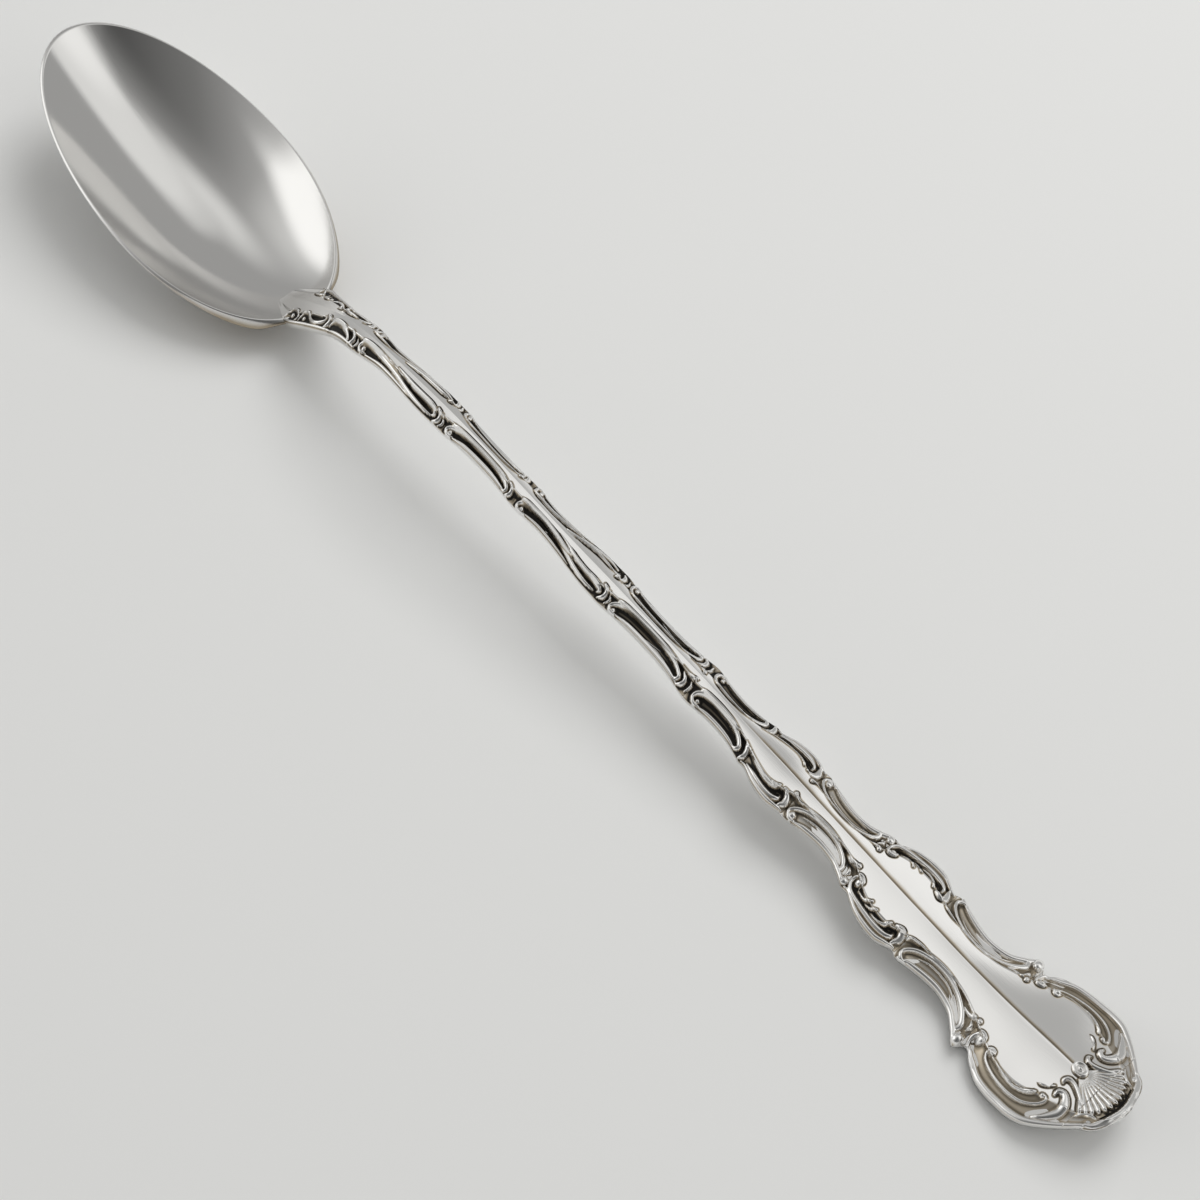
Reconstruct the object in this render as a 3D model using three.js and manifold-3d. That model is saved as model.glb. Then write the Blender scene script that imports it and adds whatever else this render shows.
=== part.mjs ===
// A long-handled silver spoon for tall drinks, lying bowl-up on a table.
// Millimetres. X runs from the bowl's tip to the handle's end, Y across, Z up from the table.
// The bowl is a thin oval shell. Neck, stem and blade are bars lofted along an arched side view.
// Scrolled borders lie on both edges of the bars, mirrored across the spoon's middle plane, and the
// handle ends in a shell fan with its button and a raised end rim.

import * as THREE from 'three';
import { mergeVertices } from 'three/addons/utils/BufferGeometryUtils.js';
import Module from 'manifold-3d';

const wasm = await Module();
wasm.setup();

// Bowl
const BOWL_TIP_LENGTH = 29.7; // from the widest line to the tip
const BOWL_HEEL_LENGTH = 23.1; // from the widest line to the heel
const BOWL_WIDTH = 27.2;
const BOWL_DEPTH = 7.4; // from the rim down to the inside floor
const BOWL_FULLNESS = 2.3; // power of the dished curve: 2 is a parabola, more is a flatter floor
const BOWL_WALL = 1.2;
const BOWL_TIP_RISE = 10.2; // the rim at the tip stands this much over the rim at the heel
const BOWL_HEEL_HEIGHT = 4.9; // rim at the heel, over the table
const HEEL_REACH = 1.1; // the bowl's oval closes this far past the start of the first scrolls
const LIP_THINNING = 0.6; // share of the wall that is gone at the rim
const LIP_POWER = 4; // how late the wall starts to thin
const HEEL_THICKENING = 1.3; // beside the neck, the wall's outside hangs this much lower at the rim
const HEEL_FROM = 0.3; // share of the heel's length at which that starts
const REST_FLAT_DEPTH = 0.16; // how deep the worn flat under the bowl cuts into its round back
const BOWL_SEGMENTS = 44;
const BOWL_RINGS = 8;
const FLOOR_SAMPLES = 200; // places at which the back is searched for its lowest line

// Bars
const NECK_TONGUE = 4.6; // the neck runs out this far inside the bowl, before the first scroll
const TONGUE_TIP_WIDTH = 3.2;
const TONGUE_PANEL_WIDTH = 2.1; // smooth middle of the tongue, at its tip
const TONGUE_STEPS = 4;
const NECK_THICKNESS = 3;
const STEM_THICKNESS = 2.4;
const BLADE_THICKNESS = 1.7;
const END_LENGTH = 3.9; // from the last scrolls to the handle's end
const END_HEIGHT = 6.3; // border level at the handle's end
const NECK_HEIGHT = 5.7; // border level where the first scrolls start
const EDGE_THICKNESS = 0.8; // upright wall along the bars' edges, below the border floor
const BACK_SHOULDER = 0.72; // share of the half-width at which the rounded back turns up to the edge
const BACK_ROUND = 0.3; // share of the rise to the edge that is made by then
const END_ARCH = 0.02; // sideways fall of the end lobe, per square millimetre
const ARCH_REACH = 5; // distance from the middle at which the arched lobe meets the border level
const ARCH_FADE = [0.7, 1]; // shares of the end lobe between which it turns level again
const END_WIDTH = 9; // across the shell end, past the last scrolls
const END_ROUND = [[0.4, 1], [0.6, 0.93], [0.85, 0.6], [1, 0.111]]; // share of the end, of its width
const END_STEPS = 6;

// Relief
const RELIEF = 0.75; // border floor to scroll tops
const PANEL_STEP = 0.55; // border floor to the foot of the middle panel
const RIM = 0.42; // wall of a scroll round its hollow
const RIM_SHARE = 0.34; // most of a scroll's width that one wall takes
const RIM_BEVEL = 0.12;
const BEVEL_SHARE = 0.25; // most of a wall that its bevel takes
const BEAD_RADIUS = 0.45;
const BEAD_SHARE = 0.3; // most of a border's width that a bead's radius takes
const BEAD_SIDES = 8;
const BEAD_RINGS = 5;
const SCROLL_TAPER = 0.3; // share of its width that a scroll loses on each side at its two ends
const SCROLL_GAP = 0.7; // between one scroll and the next
const SEAM = 0.12; // clearance between pieces
const SCROLL_STEPS = 8;

// Shell fan, button and end rim
const BUTTON_RADIUS = 1.05;
const BUTTON_HEIGHT = 1.1;
const BUTTON_SET_BACK = 6.9; // from the handle's end
const BUTTON_SIDES = 18;
const BUTTON_PROFILE = [[0, 0], [1, 0], [1, 0.55], [0.8, 0.85], [0.55, 0.6], [0.35, 0.85], [0, 1]];
const PANEL_FADE = [2.1, 0.65]; // the panel sinks to the border floor between these gaps to the button
const END_RIM_WIDTH = 0.9;
const END_RIM_STEPS = 12;
const RIM_SEARCH_STEPS = 360; // places at which the end of the rim is looked for
const HALVINGS = 30;
const RIM_CHANNEL = 0.98; // between the end rim and the scalloped edge
const FAN_CHANNEL = 0.45; // between the button and the fan's root
const FAN_HALF_ANGLE = 58; // degrees
const FAN_RIBS = 11;
const FAN_SCALLOP = 0.3;
const FAN_ROOT_STEPS = 4;

// Border scrolls from neck to end: length, greatest width of the spoon across it, and the border level
// over the table at its far end, on the outline
const NECK_LEAF_LENGTH = 7.3;
const NECK_LEAF_WIDTH = 7.4;
const NECK_LEAF_HEIGHT = 10.2;
const NECK_SCROLL_LENGTH = 5.2;
const NECK_SCROLL_WIDTH = 4.7;
const NECK_SCROLL_HEIGHT = 12.5;
const STEM_SCROLL_1_LENGTH = 16.4;
const STEM_SCROLL_1_WIDTH = 4.4;
const STEM_SCROLL_1_HEIGHT = 13.3;
const STEM_SCROLL_2_LENGTH = 12.6;
const STEM_SCROLL_2_WIDTH = 4.2;
const STEM_SCROLL_2_HEIGHT = 12;
const STEM_SCROLL_3_LENGTH = 16.7;
const STEM_SCROLL_3_WIDTH = 4.9;
const STEM_SCROLL_3_HEIGHT = 10.25;
const STEM_SCROLL_4_LENGTH = 14;
const STEM_SCROLL_4_WIDTH = 5.5;
const STEM_SCROLL_4_HEIGHT = 8.65;
const WAIST_SCROLL_LENGTH = 9.9;
const WAIST_SCROLL_WIDTH = 6.3;
const WAIST_SCROLL_HEIGHT = 7.35;
const FIRST_LOBE_LENGTH = 6.7;
const FIRST_LOBE_WIDTH = 8.2;
const FIRST_LOBE_HEIGHT = 6.45;
const MIDDLE_SCROLL_LENGTH = 10.5;
const MIDDLE_SCROLL_WIDTH = 8.7;
const MIDDLE_SCROLL_HEIGHT = 5.2;
const SECOND_LOBE_LENGTH = 8.4;
const SECOND_LOBE_WIDTH = 11.6;
const SECOND_LOBE_HEIGHT = 4.1;
const SHOULDER_SCROLL_LENGTH = 11.6;
const SHOULDER_SCROLL_WIDTH = 14.6;
const SHOULDER_SCROLL_HEIGHT = 2.4;
const END_LOBE_LENGTH = 14;
const END_LOBE_WIDTH = 17.6;
const END_LOBE_HEIGHT = 4.3;

// One row for each scroll. Shares are evenly spaced along it: outline is how much of its greatest width
// the spoon has there, panel how much of that is the smooth middle. crest is how far the ridge of the panel
// stands over the border's inner side at its far end, as a share of the relief, and fall how steeply the
// border falls outwards there.
const SCROLLS = [
  {
    name: 'neck_leaf',
    length: NECK_LEAF_LENGTH,
    width: NECK_LEAF_WIDTH,
    height: NECK_LEAF_HEIGHT,
    crest: 0.1,
    fall: 0.6,
    outline: [1, 0.865, 0.676],
    panel: [0.541, 0.469, 0.4],
  },
  {
    name: 'neck_scroll',
    length: NECK_SCROLL_LENGTH,
    width: NECK_SCROLL_WIDTH,
    height: NECK_SCROLL_HEIGHT,
    crest: 0.1,
    fall: 0.7,
    outline: [1, 0.936, 0.957],
    panel: [0.404, 0.386, 0.378],
  },
  {
    name: 'stem_scroll_1',
    length: STEM_SCROLL_1_LENGTH,
    width: STEM_SCROLL_1_WIDTH,
    height: STEM_SCROLL_1_HEIGHT,
    crest: 0.15,
    fall: 0.72,
    outline: [1, 0.795, 0.864, 0.977, 0.955],
    panel: [0.386, 0.314, 0.474, 0.488, 0.429],
  },
  {
    name: 'stem_scroll_2',
    length: STEM_SCROLL_2_LENGTH,
    width: STEM_SCROLL_2_WIDTH,
    height: STEM_SCROLL_2_HEIGHT,
    crest: 0.15,
    fall: 0.7,
    outline: [1, 0.833, 0.786, 0.81, 0.929],
    panel: [0.381, 0.343, 0.303, 0.324, 0.436],
  },
  {
    name: 'stem_scroll_3',
    length: STEM_SCROLL_3_LENGTH,
    width: STEM_SCROLL_3_WIDTH,
    height: STEM_SCROLL_3_HEIGHT,
    crest: 0.1,
    fall: 0.6,
    outline: [0.796, 0.694, 0.796, 0.98, 1],
    panel: [0.436, 0.441, 0.564, 0.542, 0.367],
  },
  {
    name: 'stem_scroll_4',
    length: STEM_SCROLL_4_LENGTH,
    width: STEM_SCROLL_4_WIDTH,
    height: STEM_SCROLL_4_HEIGHT,
    crest: 0,
    fall: 0.6,
    outline: [0.855, 0.764, 0.745, 0.8, 1],
    panel: [0.362, 0.31, 0.268, 0.273, 0.273],
  },
  {
    name: 'waist_scroll',
    length: WAIST_SCROLL_LENGTH,
    width: WAIST_SCROLL_WIDTH,
    height: WAIST_SCROLL_HEIGHT,
    crest: 0.2,
    fall: 0.5,
    outline: [0.889, 0.794, 0.762, 0.825, 1],
    panel: [0.321, 0.3, 0.271, 0.327, 0.46],
  },
  {
    name: 'first_lobe',
    length: FIRST_LOBE_LENGTH,
    width: FIRST_LOBE_WIDTH,
    height: FIRST_LOBE_HEIGHT,
    crest: 0.4,
    fall: 0.38,
    outline: [0.756, 0.902, 0.988, 1, 0.902],
    panel: [0.548, 0.568, 0.556, 0.488, 0.365],
  },
  {
    name: 'middle_scroll',
    length: MIDDLE_SCROLL_LENGTH,
    width: MIDDLE_SCROLL_WIDTH,
    height: MIDDLE_SCROLL_HEIGHT,
    crest: 0.2,
    fall: 0.32,
    outline: [0.862, 0.759, 0.69, 0.759, 1],
    panel: [0.373, 0.348, 0.333, 0.364, 0.437],
  },
  {
    name: 'second_lobe',
    length: SECOND_LOBE_LENGTH,
    width: SECOND_LOBE_WIDTH,
    height: SECOND_LOBE_HEIGHT,
    crest: 0.1,
    fall: 0.31,
    outline: [0.741, 0.914, 1, 1, 0.862],
    panel: [0.535, 0.623, 0.629, 0.621, 0.58],
  },
  {
    name: 'shoulder_scroll',
    length: SHOULDER_SCROLL_LENGTH,
    width: SHOULDER_SCROLL_WIDTH,
    height: SHOULDER_SCROLL_HEIGHT,
    crest: 0.2,
    fall: 0.31,
    outline: [0.726, 0.658, 0.616, 0.72, 1],
    panel: [0.528, 0.479, 0.489, 0.52, 0.53],
  },
  {
    name: 'end_lobe',
    length: END_LOBE_LENGTH,
    width: END_LOBE_WIDTH,
    height: END_LOBE_HEIGHT,
    crest: 0.47,
    fall: 0.25,
    outline: [0.727, 0.943, 1, 0.955, 0.67],
    panel: [0.656, 0.675, 0.676, 0.571, 0.61],
  },
];
const STEM_START = 'neck_scroll'; // the stem bar begins at this scroll
const BLADE_START = 'waist_scroll'; // and the blade at this one

// Scrolls laid end to end give every station along the handle. X is 0 where the first one starts.
let reach = 0;
for (const scroll of SCROLLS) {
  scroll.start = reach;
  scroll.end = reach + scroll.length;
  reach = scroll.end + SCROLL_GAP;
}
const LAST = SCROLLS[SCROLLS.length - 1];
const HANDLE_END = LAST.end + END_LENGTH;
const startOf = (name) => SCROLLS.find((scroll) => scroll.name === name).start;
const endOf = (name) => SCROLLS.find((scroll) => scroll.name === name).end;

// A smooth curve through rows of [x, value]
function along(rows, x) {
  const last = rows.length - 1;
  if (x <= rows[0][0]) return rows[0][1];
  if (x >= rows[last][0]) return rows[last][1];
  const i = rows.findIndex((row) => row[0] > x) - 1;
  const slope = (k) => {
    const [before, after] = [rows[Math.max(k - 1, 0)], rows[Math.min(k + 1, last)]];
    return (after[1] - before[1]) / (after[0] - before[0]);
  };
  const span = rows[i + 1][0] - rows[i][0];
  const t = (x - rows[i][0]) / span;
  const [a, b] = [rows[i][1], rows[i + 1][1]];
  const [da, db] = [slope(i) * span, slope(i + 1) * span];
  return a + t * da + t * t * (3 * (b - a) - 2 * da - db) + t * t * t * (2 * (a - b) + da + db);
}

// The bowl's rim climbs evenly from heel to tip, and its wall thins towards the rim
const BOWL_MIDDLE_X = HEEL_REACH - BOWL_HEEL_LENGTH;
const rimHeight = (x) =>
  BOWL_HEEL_HEIGHT + (BOWL_TIP_RISE * (HEEL_REACH - x)) / (BOWL_TIP_LENGTH + BOWL_HEEL_LENGTH);
const dish = (share) => BOWL_DEPTH * (1 - share ** BOWL_FULLNESS);
const bowlWall = (share) => BOWL_WALL * (1 - LIP_THINNING * share ** LIP_POWER);
const heelFloor = (x) => rimHeight(x) - dish((x - BOWL_MIDDLE_X) / BOWL_HEEL_LENGTH);

const spread = (scroll, values) =>
  values.map((value, i) => [scroll.start + (scroll.length * i) / (values.length - 1), value]);
const halves = (scroll) => scroll.outline.map((share) => (share * scroll.width) / 2);
const OUTER = [
  [-NECK_TONGUE, TONGUE_TIP_WIDTH / 2],
  ...SCROLLS.flatMap((scroll) => spread(scroll, halves(scroll))),
  ...END_ROUND.map(([share, part]) => [LAST.end + END_LENGTH * share, (part * END_WIDTH) / 2]),
];
const PANEL = [
  [-NECK_TONGUE, TONGUE_PANEL_WIDTH / TONGUE_TIP_WIDTH],
  ...SCROLLS.flatMap((scroll) => spread(scroll, scroll.panel)),
];
const LEVEL = [
  [-NECK_TONGUE, heelFloor(-NECK_TONGUE) + RELIEF],
  [0, NECK_HEIGHT],
  ...SCROLLS.map((scroll) => [scroll.end, scroll.height]),
  [HANDLE_END, END_HEIGHT],
];
const CREST = [[0, SCROLLS[0].crest], ...SCROLLS.map((scroll) => [scroll.end, scroll.crest])];
const FALL = [
  [-NECK_TONGUE, 0],
  ...SCROLLS.map((scroll) => [scroll.end, scroll.fall]),
  [HANDLE_END, 0],
];
const THICKNESS = [
  [-NECK_TONGUE, RELIEF + BOWL_WALL],
  [0, NECK_THICKNESS],
  [endOf(STEM_START), STEM_THICKNESS],
  [startOf(BLADE_START), STEM_THICKNESS],
  [LAST.start, BLADE_THICKNESS],
];
const outer = (x) => along(OUTER, x);
const panel = (x) => Math.min(along(PANEL, x) * outer(x), outer(x) - RIM);
const smooth = (from, to, x) => THREE.MathUtils.smoothstep(x, from, to);

// Border level and floor. The border falls from the panel to the outline, where its level is the scrolls'
// height. The end lobe also arches, and its shell end is level again.
const shoulder = SCROLLS[SCROLLS.length - 2];
const [fadeFrom, fadeTo] = ARCH_FADE.map((share) => LAST.start + LAST.length * share);
const archAt = (x) => END_ARCH * smooth(shoulder.start, LAST.start, x) * (1 - smooth(fadeFrom, fadeTo, x));
const rise = (x, y) => along(FALL, x) * (outer(x) - Math.max(Math.abs(y), panel(x)));
const level = (x, y) => along(LEVEL, x) + rise(x, y) + archAt(x) * (ARCH_REACH ** 2 - y * y);
const floor = (x, y) => level(x, y) - RELIEF;
const BUTTON_X = HANDLE_END - BUTTON_SET_BACK;
const [sinkFrom, sinkTo] = PANEL_FADE.map((gap) => BUTTON_X - BUTTON_RADIUS - gap);
const panelRise = (x) => smooth(-NECK_TONGUE, 0, x) * (1 - smooth(sinkFrom, sinkTo, x));

// Booleans on closed three.js geometries
function toManifold(geometry) {
  const plain = geometry.clone();
  plain.deleteAttribute('normal');
  plain.deleteAttribute('uv');
  const welded = mergeVertices(plain, 1e-5);
  return new wasm.Manifold(new wasm.Mesh({
    numProp: 3,
    vertProperties: new Float32Array(welded.attributes.position.array),
    triVerts: new Uint32Array(welded.index.array),
  }));
}

function fromManifold(solid) {
  const mesh = solid.getMesh();
  const geometry = new THREE.BufferGeometry();
  geometry.setAttribute('position', new THREE.BufferAttribute(new Float32Array(mesh.vertProperties), 3));
  geometry.setIndex(new THREE.BufferAttribute(new Uint32Array(mesh.triVerts), 1));
  geometry.computeVertexNormals();
  return geometry;
}

// Moves every corner of a geometry by a rule that gives its new place
function reshape(geometry, rule) {
  const place = geometry.attributes.position;
  for (let i = 0; i < place.count; i += 1) {
    place.setXYZ(i, ...rule(place.getX(i), place.getY(i), place.getZ(i)));
  }
  geometry.computeVertexNormals();
  return geometry;
}

// A bar through cross-sections at the given stations, each a ring of the same number of corners
function bar(stations, section) {
  const rings = stations.map(section);
  const shape = new THREE.Shape(rings[0].map(([y, z]) => new THREE.Vector2(y, z)));
  const steps = stations.length - 1;
  const prism = new THREE.ExtrudeGeometry(shape, { depth: 1, steps, bevelEnabled: false });
  return reshape(prism, (y, z, share) => {
    const near = rings[0].map((corner) => Math.hypot(corner[0] - y, corner[1] - z));
    const ring = Math.round(share * steps);
    return [stations[ring], ...rings[ring][near.indexOf(Math.min(...near))]];
  });
}

// Cross-section of neck, stem and blade: ridged panel, border floor, upright edge and rounded back
function barSection(x, grow = 0) {
  const [half, inner] = [outer(x) + grow, panel(x)];
  const back = along(LEVEL, x) - along(THICKNESS, x) - grow;
  const foot = floor(x, inner) + PANEL_STEP * panelRise(x) + grow;
  const crown = (RELIEF - PANEL_STEP + RELIEF * along(CREST, x)) * panelRise(x);
  const ridge = foot + crown + archAt(x) * inner * inner;
  const edge = floor(x, half) - EDGE_THICKNESS - grow;
  const side = [
    [inner, foot],
    [inner + SEAM / 2, floor(x, inner) + grow],
    [half, floor(x, half) + grow],
    [half, edge],
    [half * BACK_SHOULDER, back + (edge - back) * BACK_ROUND],
  ];
  return [
    [0, ridge],
    ...side.map(([y, z]) => [-y, z]),
    [0, back],
    ...side.map(([y, z]) => [y, z]).reverse(),
  ];
}

// Stations shared by the bars and the scrolls that lie on them
const evenly = (from, to, steps) =>
  Array.from({ length: steps + 1 }, (_, i) => from + ((to - from) * i) / steps);
const scrollStations = (scroll) => evenly(scroll.start, scroll.end, SCROLL_STEPS);
const STATIONS = [
  ...evenly(-NECK_TONGUE, 0, TONGUE_STEPS).slice(0, -1),
  ...SCROLLS.flatMap(scrollStations),
  ...evenly(LAST.end, HANDLE_END, END_STEPS).slice(1),
];
function barBetween(from, to) {
  const inside = STATIONS.filter((x) => x > from + SEAM && x < to - SEAM);
  return bar([from, ...inside, to], (x) => barSection(x));
}

// The bowl: a turned dish whose round rim is drawn out to two half ovals and tipped up at the tip
function bowl() {
  const shares = evenly(0, Math.PI / 2, BOWL_RINGS).map(Math.sin);
  const lip = 1 - BOWL_WALL / BOWL_WIDTH; // the inside of the rim, as a share of the outside
  const beforeNeck = NECK_LEAF_WIDTH / BOWL_WIDTH; // the neck's own width, as a share of the bowl's
  const profile = [
    ...shares.map((share) => new THREE.Vector2(share, -dish(share) - bowlWall(share))),
    ...shares.reverse().map((share) => new THREE.Vector2(share * lip, -dish(share))),
  ];
  const turned = new THREE.LatheGeometry(profile, BOWL_SEGMENTS);
  const shell = reshape(turned, (a, height, b) => {
    const x = BOWL_MIDDLE_X + a * (a < 0 ? BOWL_TIP_LENGTH : BOWL_HEEL_LENGTH);
    const radius = Math.hypot(a, b);
    const outside = height < -dish(Math.min(radius / lip, 1)) - SEAM;
    const beside = smooth(beforeNeck, 2 * beforeNeck, Math.abs(b));
    const hang = outside ? HEEL_THICKENING * smooth(HEEL_FROM, 1, a) * radius * radius * beside : 0;
    return [x, -b * (BOWL_WIDTH / 2), rimHeight(x) + height - hang];
  });
  return toManifold(shell);
}

// One scroll of a border in plan: a closed loop round a hollow, drawn in at its two ends
const band = (x) => [panel(x) + SEAM, outer(x) - SEAM / 2];
const rimWall = (x) => Math.min(RIM, (band(x)[1] - band(x)[0]) * RIM_SHARE);
function scrollPlan(scroll) {
  const stations = scrollStations(scroll);
  const taper = (i) => (i === 0 || i === SCROLL_STEPS ? SCROLL_TAPER : 0);
  const side = (edgeOf, inset) => stations.map((x, i) => {
    const [inner, edge] = band(x);
    const draw = (edge - inner) * taper(i) + inset(x);
    return new THREE.Vector2(x, edgeOf === 'inner' ? inner + draw : edge - draw);
  });
  const loop = (inset) => [side('inner', inset), side('outer', inset).reverse()];
  const plan = new THREE.Shape(loop(() => 0).flat());
  const hollow = loop(rimWall).flatMap((points) => points.slice(1, -1));
  plan.holes.push(new THREE.Path(hollow));
  return plan;
}

// Bends a flat piece down onto the border floor, a seam above it
const seat = (x, y, z) => [x, y, z + floor(x, y) + SEAM];

// A flat plate of the given plan with its edges broken by a bevel
function plate(shape, height, bevel) {
  const flat = new THREE.ExtrudeGeometry(shape, {
    depth: height - 2 * bevel,
    bevelThickness: bevel,
    bevelSize: bevel,
    bevelOffset: -bevel,
    bevelSegments: 1,
  });
  flat.translate(0, 0, bevel);
  return flat;
}

function scrollSolid(scroll) {
  const bevel = Math.min(RIM_BEVEL, ...scrollStations(scroll).map((x) => rimWall(x) * BEVEL_SHARE));
  const loop = plate(scrollPlan(scroll), RELIEF - SEAM, bevel);
  const x = scrollStations(scroll)[1];
  const radius = Math.min(BEAD_RADIUS, (outer(x) - panel(x)) * BEAD_SHARE);
  const bead = new THREE.SphereGeometry(radius, BEAD_SIDES, BEAD_RINGS);
  bead.rotateX(Math.PI / 2);
  bead.translate(x, (outer(x) + panel(x)) / 2, RELIEF - SEAM);
  const flat = fromManifold(toManifold(loop).add(toManifold(bead)));
  return reshape(flat, seat);
}

function mirrored(geometry) {
  const other = geometry.clone();
  reshape(other, (x, y, z) => [x, -y, z]);
  const order = other.index.array;
  for (let i = 0; i < order.length; i += 3) {
    [order[i + 1], order[i + 2]] = [order[i + 2], order[i + 1]];
  }
  other.computeVertexNormals();
  return other;
}

// Around the button, outlineReach is the distance to the spoon's outline at an angle, found by halving
const polar = (radius, angle) =>
  new THREE.Vector2(BUTTON_X + radius * Math.cos(angle), radius * Math.sin(angle));
function outlineReach(angle) {
  let [inside, outside] = [0, BUTTON_SET_BACK / Math.cos(angle)];
  for (let i = 0; i < HALVINGS; i += 1) {
    const middle = (inside + outside) / 2;
    const point = polar(middle, angle);
    if (Math.abs(point.y) < outer(point.x)) inside = middle;
    else outside = middle;
  }
  return inside;
}
const rimInside = (angle) => outlineReach(angle) - SEAM - END_RIM_WIDTH;

// The shell fan spreads from the button between the two borders, inside the end rim
function shellFan() {
  const half = THREE.MathUtils.degToRad(FAN_HALF_ANGLE);
  const scallops = evenly(-half, half, 2 * FAN_RIBS).map((angle, i) => {
    const edge = Math.min(rimInside(0), rimInside(angle)) - RIM_CHANNEL;
    const point = polar(i % 2 ? edge : edge - FAN_SCALLOP, angle);
    const limit = panel(point.x);
    return new THREE.Vector2(point.x, THREE.MathUtils.clamp(point.y, -limit, limit));
  });
  const root = evenly(half, -half, FAN_ROOT_STEPS).map((angle) => polar(BUTTON_RADIUS + FAN_CHANNEL, angle));
  return reshape(plate(new THREE.Shape([...scallops, ...root]), RELIEF, RIM_BEVEL), seat);
}

function shellButton() {
  const profile = BUTTON_PROFILE.map(([share, height]) =>
    new THREE.Vector2(share * BUTTON_RADIUS, height * BUTTON_HEIGHT));
  const button = new THREE.LatheGeometry(profile, BUTTON_SIDES);
  button.rotateX(Math.PI / 2);
  return reshape(button, (x, y, z) => seat(x + BUTTON_X, y, z));
}

// The end rim follows the outline round the handle's end, up to a gap from the last scrolls
function endRim() {
  const clear = (angle) => polar(rimInside(angle), angle).x > LAST.end + SCROLL_GAP;
  const half = evenly(0, Math.PI / 2, RIM_SEARCH_STEPS).filter(clear).pop();
  const angles = evenly(-half, half, END_RIM_STEPS);
  const edge = angles.map((angle) => polar(outlineReach(angle) - SEAM, angle));
  const inside = angles.reverse().map((angle) => polar(rimInside(angle), angle));
  return reshape(plate(new THREE.Shape([...edge, ...inside]), RELIEF, RIM_BEVEL), seat);
}

// Assembly
const polished = { color: 0xd6d3cd, roughness: 0.16, metalness: 1 };
const aged = { color: 0xb9b3a8, roughness: 0.3, metalness: 1 };
const spoon = new THREE.Group();
function addPiece(name, geometry, finish) {
  const piece = new THREE.Mesh(geometry, new THREE.MeshStandardMaterial(finish));
  piece.name = name;
  spoon.add(piece);
}

// The neck lies in a pocket of the bowl, a seam clear all round, and the table wears a flat under it
const stemX = startOf(STEM_START) - SCROLL_GAP / 2;
const bladeX = startOf(BLADE_START) - SCROLL_GAP / 2;
const pocketStations = [-NECK_TONGUE - SEAM, ...STATIONS.filter((x) => x > -NECK_TONGUE && x < stemX)];
const pocket = bar(pocketStations, (x) => barSection(x, SEAM));
const lowest = Math.min(...evenly(0, 1, FLOOR_SAMPLES).map((share) =>
  heelFloor(BOWL_MIDDLE_X + share * BOWL_HEEL_LENGTH) - bowlWall(share)));
const bowlLength = BOWL_TIP_LENGTH + BOWL_HEEL_LENGTH;
const table = new THREE.BoxGeometry(2 * bowlLength, 2 * BOWL_WIDTH, bowlLength);
table.translate(BOWL_MIDDLE_X, 0, lowest + REST_FLAT_DEPTH - bowlLength / 2);

addPiece('bowl', fromManifold(bowl().subtract(toManifold(pocket)).subtract(toManifold(table))), polished);
addPiece('neck', barBetween(-NECK_TONGUE, stemX - SEAM), polished);
addPiece('stem', barBetween(stemX, bladeX - SEAM), polished);
addPiece('handle_blade', barBetween(bladeX, HANDLE_END), polished);
for (const scroll of SCROLLS) {
  const left = scrollSolid(scroll);
  addPiece(`${scroll.name}_left`, left, aged);
  addPiece(`${scroll.name}_right`, mirrored(left), aged);
}
addPiece('shell_fan', shellFan(), aged);
addPiece('shell_button', shellButton(), polished);
addPiece('end_rim', endRim(), polished);

// The origin is under the middle of the whole spoon, on the table
const box = new THREE.Box3().setFromObject(spoon);
spoon.position.set(-(box.min.x + box.max.x) / 2, 0, -box.min.z);

export default spoon;
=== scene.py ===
# %% [markdown]
# A long-handled silver spoon
#
# The spoon lies bowl-up on a pale table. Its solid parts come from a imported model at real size, in metres.
# This lesson dresses each of them with a finer mesh and a silver finish, and lights it like a small studio.
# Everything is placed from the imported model, so nothing has to be fitted by eye.

# %% Load the frame
import math

import bmesh
import bpy
import numpy as np
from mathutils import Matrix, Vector


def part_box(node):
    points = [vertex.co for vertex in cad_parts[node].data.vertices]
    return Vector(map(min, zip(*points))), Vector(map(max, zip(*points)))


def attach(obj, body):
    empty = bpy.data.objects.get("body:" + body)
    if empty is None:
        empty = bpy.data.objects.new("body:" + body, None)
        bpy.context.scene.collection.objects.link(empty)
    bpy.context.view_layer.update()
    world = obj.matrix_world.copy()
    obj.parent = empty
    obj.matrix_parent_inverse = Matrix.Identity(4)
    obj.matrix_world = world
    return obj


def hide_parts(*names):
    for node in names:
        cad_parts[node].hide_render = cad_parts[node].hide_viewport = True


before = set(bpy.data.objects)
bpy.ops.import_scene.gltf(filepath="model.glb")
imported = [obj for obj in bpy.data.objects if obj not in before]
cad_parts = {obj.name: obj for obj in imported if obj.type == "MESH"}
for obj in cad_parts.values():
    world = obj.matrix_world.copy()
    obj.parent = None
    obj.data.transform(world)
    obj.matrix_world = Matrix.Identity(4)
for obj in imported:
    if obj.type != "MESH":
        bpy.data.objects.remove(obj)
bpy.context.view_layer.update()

MM = 0.001
scene = bpy.context.scene
scene.view_settings.view_transform = "Standard"

# %% [markdown]
# The camera
#
# The photograph looks down on the spoon from the handle's right side. A camera can be aimed with a tracking
# constraint, but a plain direction is enough: azimuth turns round the table, elevation lifts from it, and
# the lens is found from how much the far end shrinks.

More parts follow.
